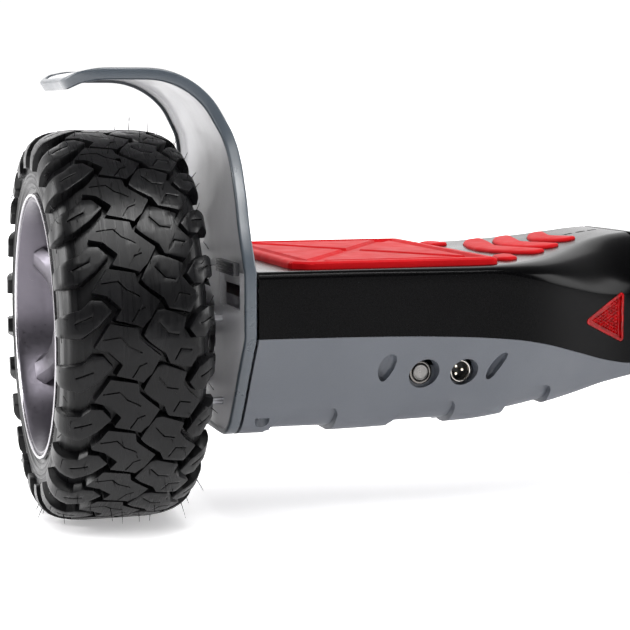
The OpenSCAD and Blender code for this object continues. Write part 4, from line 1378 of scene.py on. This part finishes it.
def carcass():
    """The tyre under the blocks: groove floors, shoulders and ringed sidewalls, as one closed tube."""
    end = float(section_len[-1])
    half = np.concatenate([np.linspace(0, SHOULDER, 22), np.linspace(SHOULDER, WALL, 9)[1:],
                           np.arange(WALL + 0.35, end, 0.45), [end]])
    depth = np.interp(half, [SHOULDER - 2, 46, 50, 54, 58, 63, end], [5.6, 4.8, 3.6, 2.8, 2.0, 0.9, 0.0])
    rings = np.zeros_like(half)
    for at in (7.0, 9.4, 12.6, 15.2):
        rings += 0.45 * np.exp(-((half - WALL - at) / 0.45) ** 2)
    rows = list(zip(-half[::-1], (rings - depth)[::-1]))[:-1] + list(zip(half, rings - depth))
    inner = [(36.2, 72.9), (27.5, 72.9), (29, 82), (25, 92), (12, 95.5), (0, 96)]
    steps = 288
    u = np.arange(steps) * 2 * math.pi * TYRE_R / steps
    grid = [wrap(np.full(steps, t), u, np.full(steps, h)) for t, h in rows]
    angle = u / TYRE_R
    for w, r in inner + [(-w, r) for w, r in inner[:-1][::-1]]:
        grid.append(np.stack([np.full(steps, w), -r * np.cos(angle), r * np.sin(angle)], -1))
    points = np.array(grid).reshape(-1, 3)
    faces = grid_faces(len(grid), steps, wrap_u=True, wrap_v=True)
    return points, faces


def hair(base, direction, length, bend, radius=0.28):
    """A thin vent hair left by the mould."""
    base, d, b = (np.array(v, float) for v in (base, direction, bend))
    side = np.cross(d, b + (0.01, 0.02, 0.03))
    side /= np.linalg.norm(side)
    up = np.cross(side, d)
    rows = []
    for f in (0.0, 0.35, 0.7, 1.0):
        c = base + d * length * f + b * length * 0.35 * f * f
        r = radius * (1 - 0.55 * f)
        rows.append([c + r * (math.cos(a) * side + math.sin(a) * up) for a in (0, 2.094, 4.189)])
    points = [p for r in rows for p in r]
    faces = grid_faces(4, 3, wrap_v=True) + [(2, 1, 0), (9, 10, 11)]
    return points, faces


def inside_box(points):
    """Whether a hair stays in the wheel's own width and in the box of the whole board."""
    p = np.array(points)
    return bool(np.all(np.abs(p[:, 0]) < TYRE_W / 2 - 0.02) and np.all(np.abs(p[:, 1]) < TYRE_R - 0.02)
                and np.all(p[:, 2] > -TYRE_R + 0.02))


def tyre(side, sd):
    points, faces = tread_cell()
    cp, cf = carcass()
    allp, allf, start = [cp], list(cf), len(cp)
    for i in range(PITCHES):
        allp.append(wrap(points[:, 0], points[:, 1] + i * PITCH, points[:, 2]))
        allf += [tuple(start + k for k in f) for f in faces]
        start += len(points)
    p = np.concatenate(allp)
    rr = np.hypot(p[:, 1], p[:, 2])
    p[:, 1:] *= (1 - np.maximum(rr - TYRE_R, 0) / rr)[:, None]
    p[:, 0] = np.clip(p[:, 0], -TYRE_W / 2 + 0.02, TYRE_W / 2 - 0.02)
    allp, hairs = [p], []
    rng = random.Random(11)
    for i in range(PITCHES):
        for t, u in HAIR_SPOTS:
            if rng.random() < 0.30:
                continue
            t += rng.uniform(-2.2, 2.2)
            uu = u + i * PITCH + rng.uniform(-3, 3)
            a = wrap(t, uu, -0.3)
            b = wrap(t, uu, 1.0)
            d = (b - a) / np.linalg.norm(b - a)
            d[0] *= 0.25
            d /= np.linalg.norm(d)
            bend = np.array([rng.uniform(-0.1, 0.1), rng.uniform(-1, 1), rng.uniform(-1, 1)])
            length = rng.uniform(2.5, 6.5) if abs(t) < 30 else rng.uniform(3.5, 7.5)
            d[0] += rng.uniform(-0.15, 0.15)
            d /= np.linalg.norm(d)
            hp, hf = hair(a, d, length, bend)
            if not inside_box(hp):
                # lies along the tread instead of standing up
                r = math.hypot(a[1], a[2])
                d = np.array([rng.uniform(-0.5, 0.5), -a[2] / r, a[1] / r]) * rng.choice((-1, 1))
                d[0] -= 0.3 * np.sign(t)
                d /= np.linalg.norm(d)
                hp, hf = hair(wrap(t, uu, -0.1), d, min(length, 5), -np.array([0, a[1], a[2]]) / r * 0.2)
                if not inside_box(hp):
                    continue
            hairs.append((np.array(hp), hf))
    for hp, hf in hairs:
        allp.append(hp)
        allf += [tuple(start + k for k in f) for f in hf]
        start += len(hp)
    p = np.concatenate(allp)
    p[:, 0] *= -1 if sd > 0 else 1
    p += (sd * WHEEL_X, 0, AXLE_Z)
    obj = link(side + "_tyre_tread", mesh_from(side + "_tyre_tread", p, allf))
    tidy(obj, 32, 0.000004)
    finish_piece(obj, M["tyre"], side + "_wheel", side + "_tyre")


# ---------------------------------------------------------------- rim
def on_axle(obj, sd):
    """Sets a piece modelled round the origin on the axle of its side."""
    for v in obj.data.vertices:
        v.co.x = v.co.x * sd + sd * WHEEL_X * MM
        v.co.z += AXLE_Z * MM
    if sd < 0:
        obj.data.flip_normals()


def rim(side, sd):
    """The wheel: a double lip, a dished face with six raised ribs and a centre boss."""
    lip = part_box("right_rim")[1][0] * 1000 - WHEEL_X
    profile = [(-37, 66), (-37, 73.3), (-36.4, 73.3), (-35.6, 72.6), (-24, 72.6), (-20, 69), (20, 69),
               (24, 72.6),
               (35.2, 72.6), (36.4, 73.0), (36.5, 71.5), (lip - 1.2, 71.4), (lip - 1.7, 70.8),
               (lip - 1.2, 70.3), (lip - 1.2, 69.4), (lip - 2.0, 68.8),
               (lip - 4.5, 67.6), (30, 66.0), (24, 64.6), (18, 63.0), (14, 61.0), (12.2, 58.0), (11.7, 54),
               (11.7, 40),
               (12.2, 30), (13.2, 26.8), (16, 24.9), (22.6, 23.8), (24, 22.6), (24, 8), (23.2, 7.2),
               (21, 7.2), (21, 0.4),
               (20.6, 0.4), (20.6, 17.6), (9.8, 17.6), (9.6, 21), (9.6, 58), (-20, 58), (-20, 63),
               (-28, 63), (-30, 66)]
    face = turned("face", profile, 144)
    ribs = []
    for i in range(6):
        a = 2 * math.pi * (i + 0.5) / 6
        rows = []
        for r, half, top, low in ((21, 13.0, 23.7, 10.5), (27, 12.6, 23.6, 10.5), (38, 11.2, 23.2, 10.5),
                                  (50, 9.8, 24.2, 10.5),
                                  (58, 9.0, 26.6, 10.5), (64.5, 9.4, 30.0, 10.5)):
            rows.append([(low, r, -half - 2.4), (top - 4.6, r, -half), (top - 4.2, r, -half + 0.4),
                         (top, r, -half + 5.0),
                         (top, r, half - 5.0), (top - 4.2, r, half - 0.4), (top - 4.6, r, half),
                         (low, r, half + 2.4)])
        pts = []
        for row in rows:
            for x, r, s in row:
                pts.append((x, r * math.cos(a) - s * math.sin(a), r * math.sin(a) + s * math.cos(a)))
        fcs = grid_faces(len(rows), 8, wrap_v=True) + [tuple(range(7, -1, -1)), tuple(range(40, 48))]
        ribs.append(tidy(link("rib", mesh_from("rib", pts, fcs)), 30))
    for r in ribs:
        cut(face, [r], "UNION")
    for i in range(6):
        a = 2 * math.pi * i / 6
        hole = x_prism("bolt", disc(15.5 * math.cos(a), 15.5 * math.sin(a), 2.6, 20), 19, 30)
        cut(face, [hole])
    tidy(face, 28)
    bevel(face, 0.3, 2, 24)
    tidy(face, 24)
    on_axle(face, sd)
    face.name = face.data.name = side + "_rim_casting"
    # a separate lip ring in the lighter copy of the rim metal: a painted highlight on the lip
    ring = turned(side + "_rim_lip_highlight", [(36.65, 71.6), (36.65, 73.3), (lip - 0.5, 73.4), (lip - 0.12, 73.15),
                                      (lip, 72.7),
                                      (lip - 0.08, 72.2), (lip - 0.4, 71.75), (lip - 0.9, 71.6)], 144)
    on_axle(ring, sd)
    finish_piece(ring, M["rim_lip_highlight"], side + "_wheel", side + "_rim")
    finish_piece(face, M["rim_gunmetal"], side + "_wheel", side + "_rim")


for side, sd in SIDES:
    upper_shell(side, sd)
    lower_shell(side, sd)
    foot_mat(side, sd)
    grip_insert(side, sd)
    lamp(side, sd, -1, "rear_light")
    lamp(side, sd, 1, "front_light")
    fender(side, sd)
    clip(side, sd)
    tyre(side, sd)
    rim(side, sd)

ports()
